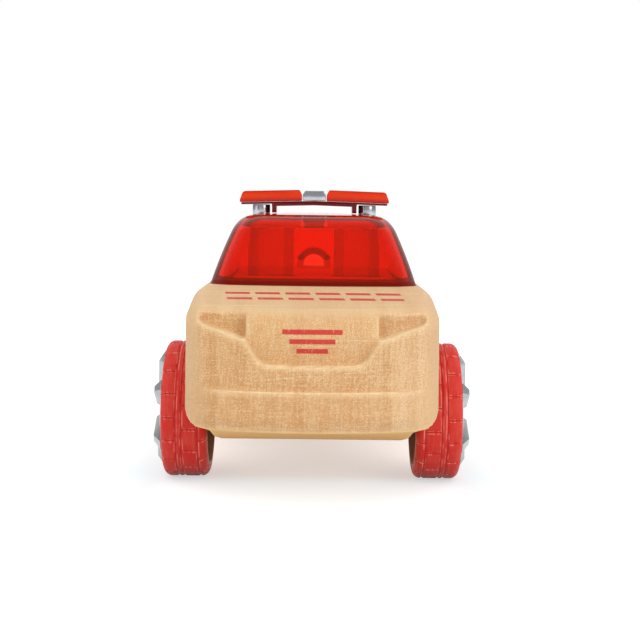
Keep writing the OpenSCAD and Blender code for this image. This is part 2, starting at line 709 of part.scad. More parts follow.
// Tread rows between the grooves, as shares of the tyre's width
groove_at = [0.2, 0.55, 0.67];
bead = 0.05;                           // between tyre and rim
bead_side = 0.1;                       // the same beside the rim's lips
function groove_notch(u) = [
    [tyre_r, u - groove_w / 2], [tyre_r - groove_d, u - groove_w / 2],
    [tyre_r - groove_d, u + groove_w / 2], [tyre_r, u + groove_w / 2]];
module tyre_profile() {
    seat = seat_r + bead;
    lip = seat_r + rim_lip + bead;
    slope_in = lip_w + bead_side;
    slope_out = tyre_w - lip_w - bead_side;
    shoulder = tyre_r - tyre_shoulder_r;
    polygon(concat(
        [[seat, slope_in + lip_slope], [lip, slope_in], [lip, bead]],
        arc([shoulder, tyre_shoulder_r + bead], tyre_shoulder_r, -90, 0),
        [for (g = groove_at) each groove_notch(g * tyre_w)],
        arc([shoulder, tyre_w - tyre_shoulder_r], tyre_shoulder_r, 0, 90),
        [[lip, tyre_w], [lip, slope_out], [seat, slope_out - lip_slope]]));
}

// Cross grooves of one tread row, from share a to share b of the tyre's width
module cross_grooves(a, b, turn) {
    for (i = [0:tread_blocks - 1]) rotate(turn + i * 360 / tread_blocks)
        translate([tyre_r - groove_d, -groove_w / 2, a * tyre_w])
            cube([2 * groove_d, groove_w, (b - a) * tyre_w]);
}
half_block = 180 / tread_blocks;
module tyre(name) color(tyre_red) wheel_place(name) difference() {
    rotate_extrude($fn = 128) tyre_profile();
    cross_grooves(0, groove_at[0], half_block);
    cross_grooves(groove_at[0], groove_at[1], 0);
    cross_grooves(groove_at[2], 1, half_block);
}

axle_short = 0.6;                      // how far an axle ends inside its bush
axle_sunk = 0.3;                       // how far its other end lies inside the hub
axle_in = -wheel_gap - bush_l + axle_short;
axle_out = hub_end - axle_sunk;
snap_in = 1.4;                         // from an axle's inner end to the middle of its snap groove
snap_at = axle_in + snap_in;
axle_tip = 0.4;
module axle(name) color(steel) wheel_place(name) rotate_extrude() polygon([
    [0, axle_in], [axle_r - axle_tip, axle_in], [axle_r, axle_in + axle_tip],
    [axle_r, snap_at - snap_w / 2], [axle_r - snap_d, snap_at - snap_w / 2],
    [axle_r - snap_d, snap_at + snap_w / 2], [axle_r, snap_at + snap_w / 2],
    [axle_r, axle_out - axle_tip], [axle_r - axle_tip, axle_out], [0, axle_out]]);

ridge_side = 0.15;                     // side clearance of the bush's ridge in the snap groove
module bush(name) color(nylon) wheel_place(name) rotate_extrude() {
    bore = axle_r + run_clear;
    ridge = bore - snap_d / 2;
    polygon([
        [bore, -wheel_gap - bush_l], [bush_r, -wheel_gap - bush_l], [bush_r, -wheel_gap],
        [flange_r, -wheel_gap], [flange_r, flange_face], [bore, flange_face],
        [bore, snap_at + snap_w / 2 - ridge_side], [ridge, snap_at + snap_w / 4],
        [ridge, snap_at - snap_w / 4], [bore, snap_at - snap_w / 2 + ridge_side]]);
}

body_block();
cabin_shell();
light_bar_bracket();
light_bar_centre();
lens();  // light_bar_lens_left
mirror([1, 0, 0]) lens();  // light_bar_lens_right
light_bar_post();  // light_bar_post_left
mirror([1, 0, 0]) light_bar_post();  // light_bar_post_right
for (w = WHEELS) {
    bush(w);
    axle(w);
    rim(w);
    tyre(w);
}
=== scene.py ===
"""Looks of a small wooden rescue car: beech body, clear red cabin with a light bar, spoked wheels."""

import logging
import math
from collections.abc import Callable, Mapping, Sequence
from dataclasses import dataclass, field
from enum import Enum
from functools import cached_property, reduce

import bmesh
import bpy
import numpy as np
from mathutils import Matrix, Vector


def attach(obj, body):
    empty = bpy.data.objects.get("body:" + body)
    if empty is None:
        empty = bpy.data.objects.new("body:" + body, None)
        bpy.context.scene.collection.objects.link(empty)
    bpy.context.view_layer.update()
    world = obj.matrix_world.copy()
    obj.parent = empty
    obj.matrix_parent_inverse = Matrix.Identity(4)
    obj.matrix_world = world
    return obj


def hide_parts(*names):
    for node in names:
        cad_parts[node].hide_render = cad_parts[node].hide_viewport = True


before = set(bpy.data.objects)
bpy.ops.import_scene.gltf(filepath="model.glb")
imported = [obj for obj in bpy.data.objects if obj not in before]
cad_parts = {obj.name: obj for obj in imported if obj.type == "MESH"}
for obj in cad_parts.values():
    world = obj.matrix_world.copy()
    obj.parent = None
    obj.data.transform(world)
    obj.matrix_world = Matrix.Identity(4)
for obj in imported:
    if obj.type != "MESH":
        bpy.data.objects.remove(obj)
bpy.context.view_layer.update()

LOG = logging.getLogger("rescue_car")
# Metres in a millimetre
MM = 0.001
# The car's left and right
SIDES = (1, -1)
# Points of a mesh that are closer than this are one point
JOIN = 1e-6
# Edges round a small rod
ROUND_STEPS = 64

# A point of an outline, or where a soft step starts and ends
Pair = tuple[float, float]
Colour = tuple[float, float, float]
BMesh = bmesh.types.BMesh
Material = bpy.types.Material
Mesh = bpy.types.Mesh
Node = bpy.types.Node
Socket = bpy.types.NodeSocket


class Corner(Enum):
    """The four wheel places: label, side of the car (+1 is its left) and axle place in mm."""

    FRONT_LEFT = ("front_left", 1, -27.0)
    FRONT_RIGHT = ("front_right", -1, -27.0)
    REAR_LEFT = ("rear_left", 1, 34.0)
    REAR_RIGHT = ("rear_right", -1, 34.0)

    @property
    def label(self) -> str:
        """Name of the place, as the frame's nodes end."""
        return self.value[0]

    @property
    def side(self) -> int:
        """+1 on the car's left, -1 on its right."""
        return self.value[1]

    @property
    def axle_y(self) -> float:
        """Place of the axle along the car, in mm."""
        return self.value[2]


# Shader building


@dataclass(frozen=True)
class Grain:
    """A field of soft noise.

    Attributes:
        size: Size of the grains along X, Y and Z, in mm.
        layers: Number of finer layers.
        seed: Picks another field.
        cut: Strengths at which patches of it start and are full.
    """

    size: tuple[float, float, float]
    layers: float
    seed: float
    cut: Pair = (0.0, 1.0)


def operation(name: str, turned: bool = False) -> Callable[..., "Value"]:
    """A method of Value that adds one Math node.

    Args:
        name: Blender's name of the operation.
        turned: Whether the other value comes first.

    Returns:
        The method.
    """

    def method(self: "Value", *others: "Value | float") -> "Value":
        """The operation on self and the others."""
        return self.shader.math(name, *((*others, self) if turned else (self, *others)))

    return method


class Value:
    """A number socket of a shader that takes part in Python arithmetic."""

    def __init__(self, shader: "Shader", socket: Socket) -> None:
        """Keeps the shader that the socket belongs to, and the socket."""
        self.shader = shader
        self.socket = socket

    __add__ = __radd__ = operation("ADD")
    __sub__ = operation("SUBTRACT")
    __rsub__ = operation("SUBTRACT", turned=True)
    __mul__ = __rmul__ = operation("MULTIPLY")
    __truediv__ = operation("DIVIDE")
    __abs__ = operation("ABSOLUTE")
    fraction = operation("FRACT")
    root = operation("SQRT")
    smaller = operation("MINIMUM")
    larger = operation("MAXIMUM")

    def step(self, low: float, high: float) -> "Value":
        """A soft step from 0 at low to 1 at high; low may be the larger.

        Args:
            low: Where the step starts.
            high: Where it ends.

        Returns:
            The step as a value from 0 to 1.
        """
        turned = low > high
        node = self.shader.node(
            "ShaderNodeMapRange",
            {"interpolation_type": "SMOOTHSTEP"},
            {0: self, 1: min(low, high), 2: max(low, high), 3: float(turned), 4: float(not turned)},
        )
        return Value(self.shader, node.outputs[0])

    def within(self, middle: float, half: float, soft: float) -> "Value":
        """1 where self lies within half of the middle, with soft edges."""
        return abs(self - middle).step(half + soft / 2, half - soft / 2)


Link = Value | Socket | float | Sequence[float]


class Shader:
    """One node tree, of a material or of the world, and the ways to add to it."""

    colour_result = 2

    def __init__(self, name: str, of_world: bool = False) -> None:
        """Makes an empty material or world.

        Args:
            name: Name of the material or world.
            of_world: Whether the tree is the world's.
        """
        self.owner = (bpy.data.worlds if of_world else bpy.data.materials).new(name)
        self.owner.use_nodes = True
        self.tree = self.owner.node_tree
        self.tree.nodes.clear()
        self.output = self.node("ShaderNodeOutputWorld" if of_world else "ShaderNodeOutputMaterial")
        self.fields: dict[Grain, Value] = {}

    def node(
        self,
        kind: str,
        settings: Mapping[str, object] | None = None,
        inputs: Mapping[str | int, Link] | None = None,
    ) -> Node:
        """Adds one node.

        Args:
            kind: Blender's type name of the node.
            settings: Its own properties.
            inputs: Values or links, by socket number, identifier or name.

        Returns:
            The new node.
        """
        made = self.tree.nodes.new(kind)
        for key, value in (settings or {}).items():
            setattr(made, key, value)
        for key, value in (inputs or {}).items():
            socket = self.input_of(made, key)
            if isinstance(value, Value):
                self.tree.links.new(value.socket, socket)
            elif isinstance(value, Socket):
                self.tree.links.new(value, socket)
            else:
                socket.default_value = value
        return made

    @staticmethod
    def input_of(made: Node, key: str | int) -> Socket:
        """An input of a node by number, identifier or name.

        Args:
            made: The node.
            key: Number, identifier or name.

        Returns:
            The input.
        """
        if isinstance(key, int):
            return made.inputs[key]
        for socket in made.inputs:
            if socket.identifier == key:
                return socket
        return made.inputs[key]

    def show(self, node: Node, role: str = "Surface") -> None:
        """Joins a node to the tree's output."""
        self.tree.links.new(node.outputs[0], self.output.inputs[role])

    def math(self, name: str, *values: Value | float) -> Value:
        """One Math node on up to three values."""
        node = self.node("ShaderNodeMath", {"operation": name}, dict(enumerate(values)))
        return Value(self, node.outputs[0])

    def scaled(self, vector: Socket, by: Sequence[float]) -> Socket:
        """A vector times a fixed vector, part by part."""
        node = self.node("ShaderNodeVectorMath", {"operation": "MULTIPLY"}, {0: vector, 1: by})
        return node.outputs[0]

    def parts(self, vector: Socket) -> tuple[Value, Value, Value]:
        """The three parts of a vector as values."""
        split = self.node("ShaderNodeSeparateXYZ", None, {0: vector})
        return tuple(Value(self, socket) for socket in split.outputs)

    @cached_property
    def place(self) -> Socket:
        """Object coordinates in millimetres."""
        return self.scaled(self.node("ShaderNodeTexCoord").outputs["Object"], (1 / MM, 1 / MM, 1 / MM))

    @cached_property
    def spot(self) -> tuple[Value, Value, Value]:
        """Object coordinates along X, Y and Z in millimetres."""
        return self.parts(self.place)

    @cached_property
    def facing(self) -> tuple[Value, Value, Value]:
        """Parts of the surface's direction in the piece's own axes."""
        return self.parts(self.node("ShaderNodeTexCoord").outputs["Normal"])

    def rays(self, *kinds: str) -> Value:
        """1 for light paths of the named kinds and 0 for others."""
        path = self.node("ShaderNodeLightPath").outputs
        return reduce(Value.larger, [Value(self, path[f"Is {kind} Ray"]) for kind in kinds])

    def noise(self, grain: Grain) -> Value:
        """Soft noise from 0 to 1; a grain that is asked for again gives the same value.

        Args:
            grain: The field of noise.

        Returns:
            The noise.
        """
        if grain not in self.fields:
            vector = self.scaled(self.place, [1 / length for length in grain.size])
            inputs = {"Vector": vector, "W": grain.seed, "Scale": 1.0}
            inputs.update({"Detail": grain.layers, "Roughness": 0.55})
            node = self.node("ShaderNodeTexNoise", {"noise_dimensions": "4D"}, inputs)
            self.fields[grain] = Value(self, node.outputs[0])
        return self.fields[grain]

    def patches(self, grain: Grain) -> Value:
        """Soft patches where a grain's noise is strong."""
        return self.noise(grain).step(*grain.cut)

    def attribute(self, name: str) -> Value:
        """A value that the piece's mesh carries."""
        return Value(self, self.node("ShaderNodeAttribute", {"attribute_name": name}).outputs["Fac"])

    def mix(self, first: Link, second: Link, share: Value | float, way: str = "MIX") -> Socket:
        """A colour between two colours, or between the first and their product with way MULTIPLY.

        Args:
            first: The colour at share 0.
            second: The other colour.
            share: How much of the other colour is taken.
            way: Blender's name of how they blend.

        Returns:
            The colour.
        """
        node = self.node(
            "ShaderNodeMix",
            {"data_type": "RGBA", "blend_type": way},
            {"Factor_Float": share, "A_Color": rgba(first), "B_Color": rgba(second)},
        )
        return node.outputs[self.colour_result]

    def layered(self, base: Link, *layers: tuple[Link, Value]) -> Link:
        """A colour with other colours laid over it, each by its share."""
        return reduce(lambda under, layer: self.mix(under, *layer), layers, base)

    def shade(self, colour: Link, amount: Value) -> Socket:
        """A colour made darker or lighter by a value round 1."""
        grey = self.node("ShaderNodeCombineColor", None, {0: amount, 1: amount, 2: amount}).outputs[0]
        return self.mix(colour, grey, 1.0, "MULTIPLY")

    def bump(self, height_mm: Value) -> Socket:
        """A surface direction from a height in millimetres."""
        return self.node("ShaderNodeBump", None, {"Distance": MM, "Height": height_mm}).outputs[0]

    def blend(self, first: Node, second: Node, share: Value) -> Node:
        """A shader between two shaders."""
        return self.node("ShaderNodeMixShader", None, {0: share, 1: first.outputs[0], 2: second.outputs[0]})

    def main(self, inputs: Mapping[str | int, Link]) -> Node:
        """Adds a main shader."""
        return self.node("ShaderNodeBsdfPrincipled", None, inputs)

    def surface(self, inputs: Mapping[str | int, Link]) -> None:
        """Adds the main shader and joins it to the output."""
        self.show(self.main(inputs))


def rgba(colour: Link) -> Link:
    """A plain colour with its alpha, or the link as it is."""
    return (*colour, 1.0) if isinstance(colour, tuple) and len(colour) == 3 else colour


# Finishes


@dataclass(frozen=True)
class PlainPrint:
    """Plain red print: dashes on the bonnet, bars on the nose, slanted bars and a line on the sides."""

    soft: float = 0.12
    dash_pitch: float = 5.9
    dash_half: float = 0.41
    dash_slant: float = 0.12
    dash_shift: float = 0.7
    dash_rows: Pair = (-34.0, -40.2)
    row_half: float = 1.25
    row_soft: float = 0.3
    rows_end: Pair = (17.5, 17.4)
    bars: tuple[Pair, ...] = ((5.5, 31.5), (4.2, 29.8), (2.9, 28.1))
    bar_half: float = 0.44
    bar_soft: float = 0.1
    slant: float = 0.6
    slant_pitch: float = 4.6
    slant_half: float = 0.31
    slants_y: Pair = (-27.0, 16.0)
    line_y: Pair = (19.0, 27.0)
    side_z: float = 31.2
    slants_half_h: float = 1.5
    line_half_h: float = 0.45
    facing_up: Pair = (0.5, 0.6)
    facing_front: Pair = (-0.7, -0.8)
    facing_side: Pair = (0.7, 0.8)

    def stripes(self, along: Value, pitch: float, half: float, shift: float = 0.0) -> Value:
        """Bars that repeat along a value.

        Args:
            along: The value, in mm.
            pitch: Distance from bar to bar, in mm.
            half: Half a bar's share of the pitch.
            shift: Share of the pitch by which the bars move.

        Returns:
            1 on the bars and 0 between them.
        """
        return (along / pitch + shift).fraction().within(0.5, half, self.soft / pitch)

    def mask(self, shader: Shader) -> Value:
        """Where the print lies.

        Args:
            shader: The shader to add to.

        Returns:
            1 on the print and 0 beside it.
        """
        x, y, z = shader.spot
        nx, ny, nz = shader.facing
        wide = abs(x)
        bonnet = self.stripes(x + y * self.dash_slant, self.dash_pitch, self.dash_half, self.dash_shift)
        rows = [y.within(row, self.row_half, self.row_soft) for row in self.dash_rows]
        bonnet = bonnet * reduce(Value.larger, rows) * wide.step(*self.rows_end)
        bonnet = bonnet * nz.step(*self.facing_up)
        bars = [
            wide.step(half, half - self.bar_soft) * z.within(height, self.bar_half, self.soft)
            for half, height in self.bars
        ]
        nose = reduce(Value.larger, bars) * ny.step(*self.facing_front)
        slants = self.stripes(y + z * self.slant, self.slant_pitch, self.slant_half)
        slants = slants * y.within(*self.slants_y, self.soft)
        slants = slants * z.within(self.side_z, self.slants_half_h, self.soft)
        line = y.within(*self.line_y, self.soft) * z.within(self.side_z, self.line_half_h, self.soft)
        flank = slants.larger(line) * abs(nx).step(*self.facing_side)
        return bonnet.larger(nose).larger(flank)


@dataclass(frozen=True)
class BeechFinish:
    """Sanded and oiled beech: growth rings, rays, woven-looking end grain, worn edges with painted
    highlight, painted shade in hollows and low on the nose, painted light on one side and underneath, and
    red print.
    """

    pale: Colour = (0.73, 0.485, 0.25)
    warm: Colour = (0.55, 0.255, 0.085)
    rosy: Colour = (0.70, 0.405, 0.215)
    end_tint: Colour = (0.69, 0.39, 0.150)
    honey: Colour = (0.69, 0.355, 0.120)
    ray: Colour = (0.84, 0.60, 0.35)
    fleck: Colour = (0.46, 0.25, 0.11)
    # pale worn colour: sanded wear, and painted highlight where it is laid along edges
    worn: Colour = (0.95, 0.76, 0.46)
    # darker wood colour laid on as painted shade
    shaded: Colour = (0.46, 0.245, 0.10)
    # brighter colour on faces that point down: painted light
    under: Colour = (1.0, 0.60, 0.19)
    ink: Colour = (0.60, 0.018, 0.022)
    pith: Pair = (-150.0, 27.0)
    ring: float = 5.2
    cord: float = 1.05
    taper: float = 0.035
    late_rise: Pair = (0.35, 0.85)
    late_fall: Pair = (1.0, 0.93)
    end_facing: Pair = (0.45, 0.9)
    side_facing: Pair = (0.5, 0.9)
    under_facing: Pair = (-0.15, -0.7)
    # where the painted light on the +X end grain fades in
    painted_light_side: Pair = (9.5, 18.5)
    # heights over which the painted shade low on the nose fades in
    painted_low_shade_z: Pair = (17.0, 13.6)
    nose_from: Pair = (-43.0, -45.0)
    crease_z: float = 20.8
    crease_half_w: float = 20.3
    crease_fade: float = 6.0
    crease_taper: float = 0.03
    crease_narrow: float = 1.25
    crease_least: float = 0.08
    line_w: Pair = (0.40, 0.02)
    line_wander: float = 0.35
    scratch_w: Pair = (0.17, 0.04)
    lamp_in: Pair = (12.1, 29.9)
    lamp_tip: Pair = (20.8, 32.7)
    lamp_floor: Pair = (0.2, 1.0)
    lamp_top: Pair = (34.9, 34.1)
    lamp_side: Pair = (12.0, 12.3)
    lamp_shade_inner: Pair = (18.8, 12.1)
    ledge_flat: tuple[Pair, ...] = ((0.0, 25.3), (7.6, 25.3), (9.0, 25.67), (10.07, 26.79))
    ledge: tuple[Pair, ...] = (*ledge_flat, lamp_in, lamp_tip)
    slope_x: tuple[float, float, float] = (10.9, 1.5, 0.8)
    slope_z: tuple[float, float, float] = (28.2, 1.9, 0.8)
    scratches: tuple[tuple[Pair, Pair], ...] = (
        ((-9.0, 22.9), (-0.3, 23.85)),
        ((5.5, 24.25), (12.6, 24.95)),
    )
    drifts: tuple[tuple[Grain, float], ...] = (
        (Grain((26, 90, 40), 2.0, 1.0), 6.0),
        (Grain((6, 60, 14), 2.0, 2.0), 1.2),
    )
    strong_rings: Grain = Grain((9, 70, 40), 1.0, 3.0, (0.35, 0.65))
    broad: Grain = Grain((11, 120, 30), 1.0, 4.0, (0.38, 0.62))
    rays: Grain = Grain((26, 2.2, 0.30), 1.0, 5.0, (0.61, 0.71))
    pores: Grain = Grain((0.25, 7.0, 0.25), 2.0, 6.0)
    mottle: Grain = Grain((0.8, 9.0, 0.8), 1.0, 7.0)
    threads: Grain = Grain((2.6, 6.0, 0.20), 1.0, 8.0)
    streaks: Grain = Grain((0.22, 6.0, 3.0), 1.0, 9.0)
    strong_cords: Grain = Grain((14, 60, 16), 1.0, 10.0, (0.42, 0.62))
    worn_patches: Grain = Grain((1.6, 1.6, 0.8), 2.0, 12.0, (0.30, 0.62))
    hollow_shade_speckle: Grain = Grain((0.4, 0.4, 0.4), 2.0, 13.0, (0.35, 0.65))
    rubbing: Grain = Grain((0.5, 3.0, 0.5), 2.0, 14.0, (0.55, 0.75))
    specks: Grain = Grain((0.24, 6.0, 0.19), 1.0, 15.0)
    wander: Grain = Grain((2.4, 2.4, 2.4), 2.0, 16.0)
    honeyed: Grain = Grain((1.9, 60, 26), 1.0, 17.0, (0.46, 0.66))
    weave: tuple[tuple[Grain, float], ...] = ((threads, 1.6), (streaks, 2.1), (pores, 0.7), (specks, 4.4))
    weave_most: float = 0.8
    weave_strong: Pair = (20.3, 21.3)
    marks: PlainPrint = PlainPrint()

    @staticmethod
    def off_line(x: Value, z: Value, a: Pair, b: Pair) -> Value:
        """Distance from a straight line on the nose.

        Args:
            x: Place across the car, in mm.
            z: Height, in mm.
            a: One end of the line, as (x, z).
            b: Its other end.

        Returns:
            The distance in mm.
        """
        run, rise = b[0] - a[0], b[1] - a[1]
        share = ((x - a[0]) * run + (z - a[1]) * rise) / (run * run + rise * rise)
        share = share.larger(0.0).smaller(1.0)
        off_x, off_z = x - a[0] - share * run, z - a[1] - share * rise
        return (off_x * off_x + off_z * off_z).root()

    def on_nose(self, shader: Shader) -> Value:
        """1 on the nose and 0 behind it."""
        return shader.spot[1].step(*self.nose_from)

    def worn_and_highlit_lines(self, shader: Shader) -> Value:
        """Pale lines on the nose: sanded wear and painted highlight along the ledge, the lips of the lamp
        hollows and the crease, and scratches.

        Args:
            shader: The shader to add to.

        Returns:
            1 on the edges and 0 beside them.
        """
        x, _, z = shader.spot
        wide = abs(x)
        past_crease = wide - self.crease_half_w
        nearest = abs(z - self.crease_z) * self.crease_narrow + past_crease.larger(0.0) + self.crease_least
        for ends in zip(self.ledge, self.ledge[1:]):
            nearest = nearest.smaller(self.off_line(wide, z, *ends))
        nearest = nearest + (past_crease + self.crease_fade).larger(0.0) * self.crease_taper
        nearest = nearest + (shader.noise(self.wander) - 0.5) * self.line_wander
        scratch = reduce(Value.smaller, [self.off_line(x, z, *ends) for ends in self.scratches])
        slope = 1 - wide.within(*self.slope_x) * z.within(*self.slope_z) * 0.75
        lines = nearest.step(*self.line_w) * slope
        lines = lines.larger(scratch.step(*self.scratch_w) * 0.55)
        return lines * (shader.patches(self.worn_patches) * 0.65 + 0.35) * self.on_nose(shader)

    def lamp_shade(self, shader: Shader) -> Value:
        """How much painted shade the lamp hollows get: most at their inner ends.

        Args:
            shader: The shader to add to.

        Returns:
            0 outside the hollows, up to 1 in them.
        """
        x, _, z = shader.spot
        wide = abs(x)
        (x0, z0), (x1, z1) = self.lamp_in, self.lamp_tip
        over = z - z0 - (wide - x0) * ((z1 - z0) / (x1 - x0))
        inside = over.step(*self.lamp_floor) * z.step(*self.lamp_top) * wide.step(*self.lamp_side)
        ends = wide.step(*self.lamp_shade_inner) * 0.85 + 0.15
        return inside * ends * (shader.patches(self.hollow_shade_speckle) * 0.6 + 0.4) * self.on_nose(shader)

    def growth(self, shader: Shader) -> tuple[Value, Value]:
        """Where the late wood of the growth rings and the finer cords lie.

        Args:
            shader: The shader to add to.

        Returns:
            The late wood and the cords, from 0 to 1.
        """
        x, y, z = shader.spot
        off_x, off_z = x - self.pith[0], z - self.pith[1]
        drift = reduce(Value.__add__, [shader.noise(grain) * weight for grain, weight in self.drifts])
        radius = (off_x * off_x + off_z * off_z).root() + y * self.taper + drift
        turn = (radius / self.ring).fraction()
        late = turn.step(*self.late_rise) * turn.step(*self.late_fall)
        cords = abs((radius / self.cord).fraction() - 0.5) * 2.0
        return late, cords * shader.patches(self.strong_cords)

    def grain(self, shader: Shader) -> tuple[Socket, Value]:
        """The bare wood's colour, with painted light on one side and underneath and painted shade low on
        the nose, and the height of its pores.

        Args:
            shader: The shader to add to.

        Returns:
            The colour, and the height in mm.
        """
        x, _, z = shader.spot
        nx, ny, nz = shader.facing
        end, side = abs(ny).step(*self.end_facing), abs(nx).step(*self.side_facing)
        late, cords = self.growth(shader)
        rays, pores = shader.patches(self.rays), shader.noise(self.pores)
        woven = [(shader.noise(grain) - 0.5) * weight for grain, weight in self.weave]
        weave = reduce(Value.__add__, woven) * end
        weave = weave * (z.step(*self.weave_strong) * 0.3 + 0.75)
        colour = shader.layered(
            self.pale,
            (self.end_tint, end * 0.72),
            (self.rosy, shader.patches(self.broad) * 0.45),
            (self.honey, shader.patches(self.honeyed) * end * 0.45),
            # painted light: end grain on the +X side paler
            (self.ray, x.step(*self.painted_light_side) * end * 0.62),
            (self.warm, late * (shader.patches(self.strong_rings) * 0.38 + 0.05) * (end * 0.6 + 0.4)),
            (self.warm, cords * end * 0.30),
            (self.ray, rays * (1 - side) * 0.50),
            (self.fleck, rays * side * 0.34),
            (self.warm, (0.0 - weave).larger(0.0).smaller(self.weave_most) * 0.75),
            (self.ray, weave.larger(0.0).smaller(self.weave_most) * 0.85),
        )
        # Painted shade: the end grain darker towards the bottom of the nose.
        foot = z.step(*self.painted_low_shade_z) * end * 0.13
        amount = (pores - 0.5) * 0.25 + (shader.noise(self.mottle) - 0.5) * 0.08 + 1.0 - foot
        # Painted light: faces that point down take the brighter under colour.
        underside_painted_light = nz.step(*self.under_facing) * 0.8
        colour = shader.mix(shader.shade(colour, amount), self.under, underside_painted_light)
        return colour, (pores * 0.030 + rays * 0.010 - late * 0.012) * (end * 0.8 + 0.6)

    def material(self) -> Material:
        """The finish as a material.

        Returns:
            The material.
        """
        shader = Shader("beech")
        colour, height = self.grain(shader)
        # Pale edges and nose lines take the worn colour: partly sanded wear, partly painted highlight.
        edge = (shader.attribute("edge") * 0.45).larger(self.worn_and_highlit_lines(shader) * 0.76)
        # Painted shade: darker in concave places and in the lamp hollows.
        painted_shade = (shader.attribute("hollow") * 0.38).larger(self.lamp_shade(shader) * 0.5)
        ink = self.marks.mask(shader) * (1.0 - shader.patches(self.rubbing) * 0.4) * (1.0 - edge * 0.5)
        colour = shader.layered(colour, (self.shaded, painted_shade), (self.worn, edge), (self.ink, ink * 0.94))
        shader.surface(
            {
                "Base Color": colour,
                "Roughness": 0.54 + shader.noise(self.rubbing) * 0.14 - ink * 0.12,
                "Specular IOR Level": 0.3,
                "Normal": shader.bump(height),
            }
        )
        return shader.owner


@dataclass(frozen=True)
class ClearRedFinish:
    """Clear red moulded plastic: darker through the legs and, with painted shade, on the notch's rim;
    painted shade toward the sides and as a dark red band at the foot; painted sheen on the roof and a faint
    painted glow.
    """

    tint: Colour = (0.90, 0.020, 0.008)
    # darker tint toward the sides: painted shade of the side walls
    flank: Colour = (0.84, 0.019, 0.008)
    leg: Colour = (0.857, 0.018, 0.008)
    leg_wall: Colour = (0.637, 0.014, 0.007)
    # near-black red for the notch's rim and its ends: its thicker plastic and painted shade
    arch: Colour = (0.29, 0.009, 0.006)
    arch_end_painted_shade: Colour = (0.17, 0.006, 0.004)
    # paler, pinker tint on the roof: painted sheen
    roof: Colour = (0.985, 0.050, 0.030)
    # faint light that the plastic gives off: painted glow
    glow: Colour = (0.015, 0.008, 0.0004)
    # dark red of the band at the foot: painted shade
    foot: Colour = (0.158, 0.0050, 0.0025)
    let_through: Colour = (0.97, 0.42, 0.34)
    depth_tint: Colour = (0.90, 0.10, 0.06)
    density: float = 150.0
    soft: float = 0.2
    flank_x: Pair = (6.0, 15.0)
    foot_top: Pair = (38.9, 38.6)
    foot_side: Pair = (15.2, 16.0)
    foot_front: Pair = (0.0, -1.5)
    foot_rear: Pair = (36.0, 35.0)
    foot_painted_shade_share: float = 0.85
    roof_z: Pair = (49.6, 51.2)
    leg_x: float = 9.6
    leg_w: float = 10.2
    leg_y: float = 7.0
    leg_l: float = 10.0
    wall: float = 2.0
    leg_top: Pair = (50.2, 49.8)
    leg_past: Pair = (0.05, 0.3)
    arch_z: float = 38.9
    arch_r: float = 3.45
    arch_t: float = 1.8
    arch_y: Pair = (38.0, 38.5)
    arch_low: Pair = (40.0, 41.2)
    arch_end: Pair = (3.3, 40.5)
    arch_end_size: Pair = (1.3, 0.95)
    arch_end_soft: Pair = (1.0, 0.45)
    wave: Grain = Grain((9, 9, 9), 2.0, 1.0)
    rub: Grain = Grain((0.5, 3.0, 0.5), 3.0, 2.0, (0.55, 0.8))

    def colour(self, shader: Shader) -> Socket:
        """The tint: darker where the plastic is thicker, with painted shade toward the sides and on the
        notch's rim and its ends, and a painted sheen on the roof.

        Args:
            shader: The shader to add to.

        Returns:
            The colour.
        """
        x, y, z = shader.spot
        wide, soft = abs(x), self.soft
        past_x, past_y = self.leg_past
        on_leg = y.within(self.leg_y, self.leg_l / 2 + past_y, soft) * z.step(*self.leg_top)
        inside = wide.within(self.leg_x, self.leg_w / 2 + past_x, soft) * on_leg
        hollow = wide.within(self.leg_x, self.leg_w / 2 - self.wall, soft)
        over, behind = z - self.arch_z, y.step(*self.arch_y)
        ring = (x * x + over * over).root().within(self.arch_r, self.arch_t / 2, 4 * soft)
        end_x = (wide - self.arch_end[0]) / self.arch_end_size[0]
        end_z = (z - self.arch_end[1]) / self.arch_end_size[1]
        ends = (end_x * end_x + end_z * end_z).root().step(*self.arch_end_soft)
        return shader.layered(
            self.tint,
            # painted shade toward the sides
            (self.flank, wide.step(*self.flank_x)),
            (shader.mix(self.leg_wall, self.leg, hollow), inside),
            # painted sheen on the roof
            (self.roof, z.step(*self.roof_z)),
            # the notch's rim and its ends: painted shade
            (self.arch, ring * behind * z.step(*self.arch_low)),
            (self.arch_end_painted_shade, ends * behind),
        )

    def material(self) -> Material:
        """The finish as a material.

        Returns:
            The material.
        """
        shader = Shader("clear_red")
        x, y, z = shader.spot
        smudge = 0.015 + shader.patches(self.rub) * 0.06
        relief = shader.bump(shader.noise(self.wave) * 0.03 + shader.noise(self.rub) * 0.0008)
        clear = shader.main(
            {
                "Base Color": self.colour(shader),
                "Roughness": smudge,
                "Transmission Weight": 0.97,
                "IOR": 1.25,
                "Normal": relief,
                # painted glow
                "Emission Color": rgba(self.glow),
                "Emission Strength": 1.0,
            }
        )
        # An opaque dark red band at the foot: painted shade.
        foot = shader.main(
            {
                "Base Color": rgba(self.foot),
                "Roughness": smudge + 0.1,
                "Specular IOR Level": 0.05,
                "Normal": relief,
            }
        )
        outer = abs(x).step(*self.foot_side).larger(y.step(*self.foot_front)) * y.step(*self.foot_rear)
        low = z.step(*self.foot_top) * outer * self.foot_painted_shade_share
        lamp = shader.node("ShaderNodeBsdfTransparent", None, {"Color": rgba(self.let_through)})
        shader.show(shader.blend(shader.blend(clear, foot, low), lamp, shader.rays("Shadow")))
        depth = {"Color": rgba(self.depth_tint), "Density": self.density}
        shader.show(shader.node("ShaderNodeVolumeAbsorption", None, depth), "Volume")
        return shader.owner


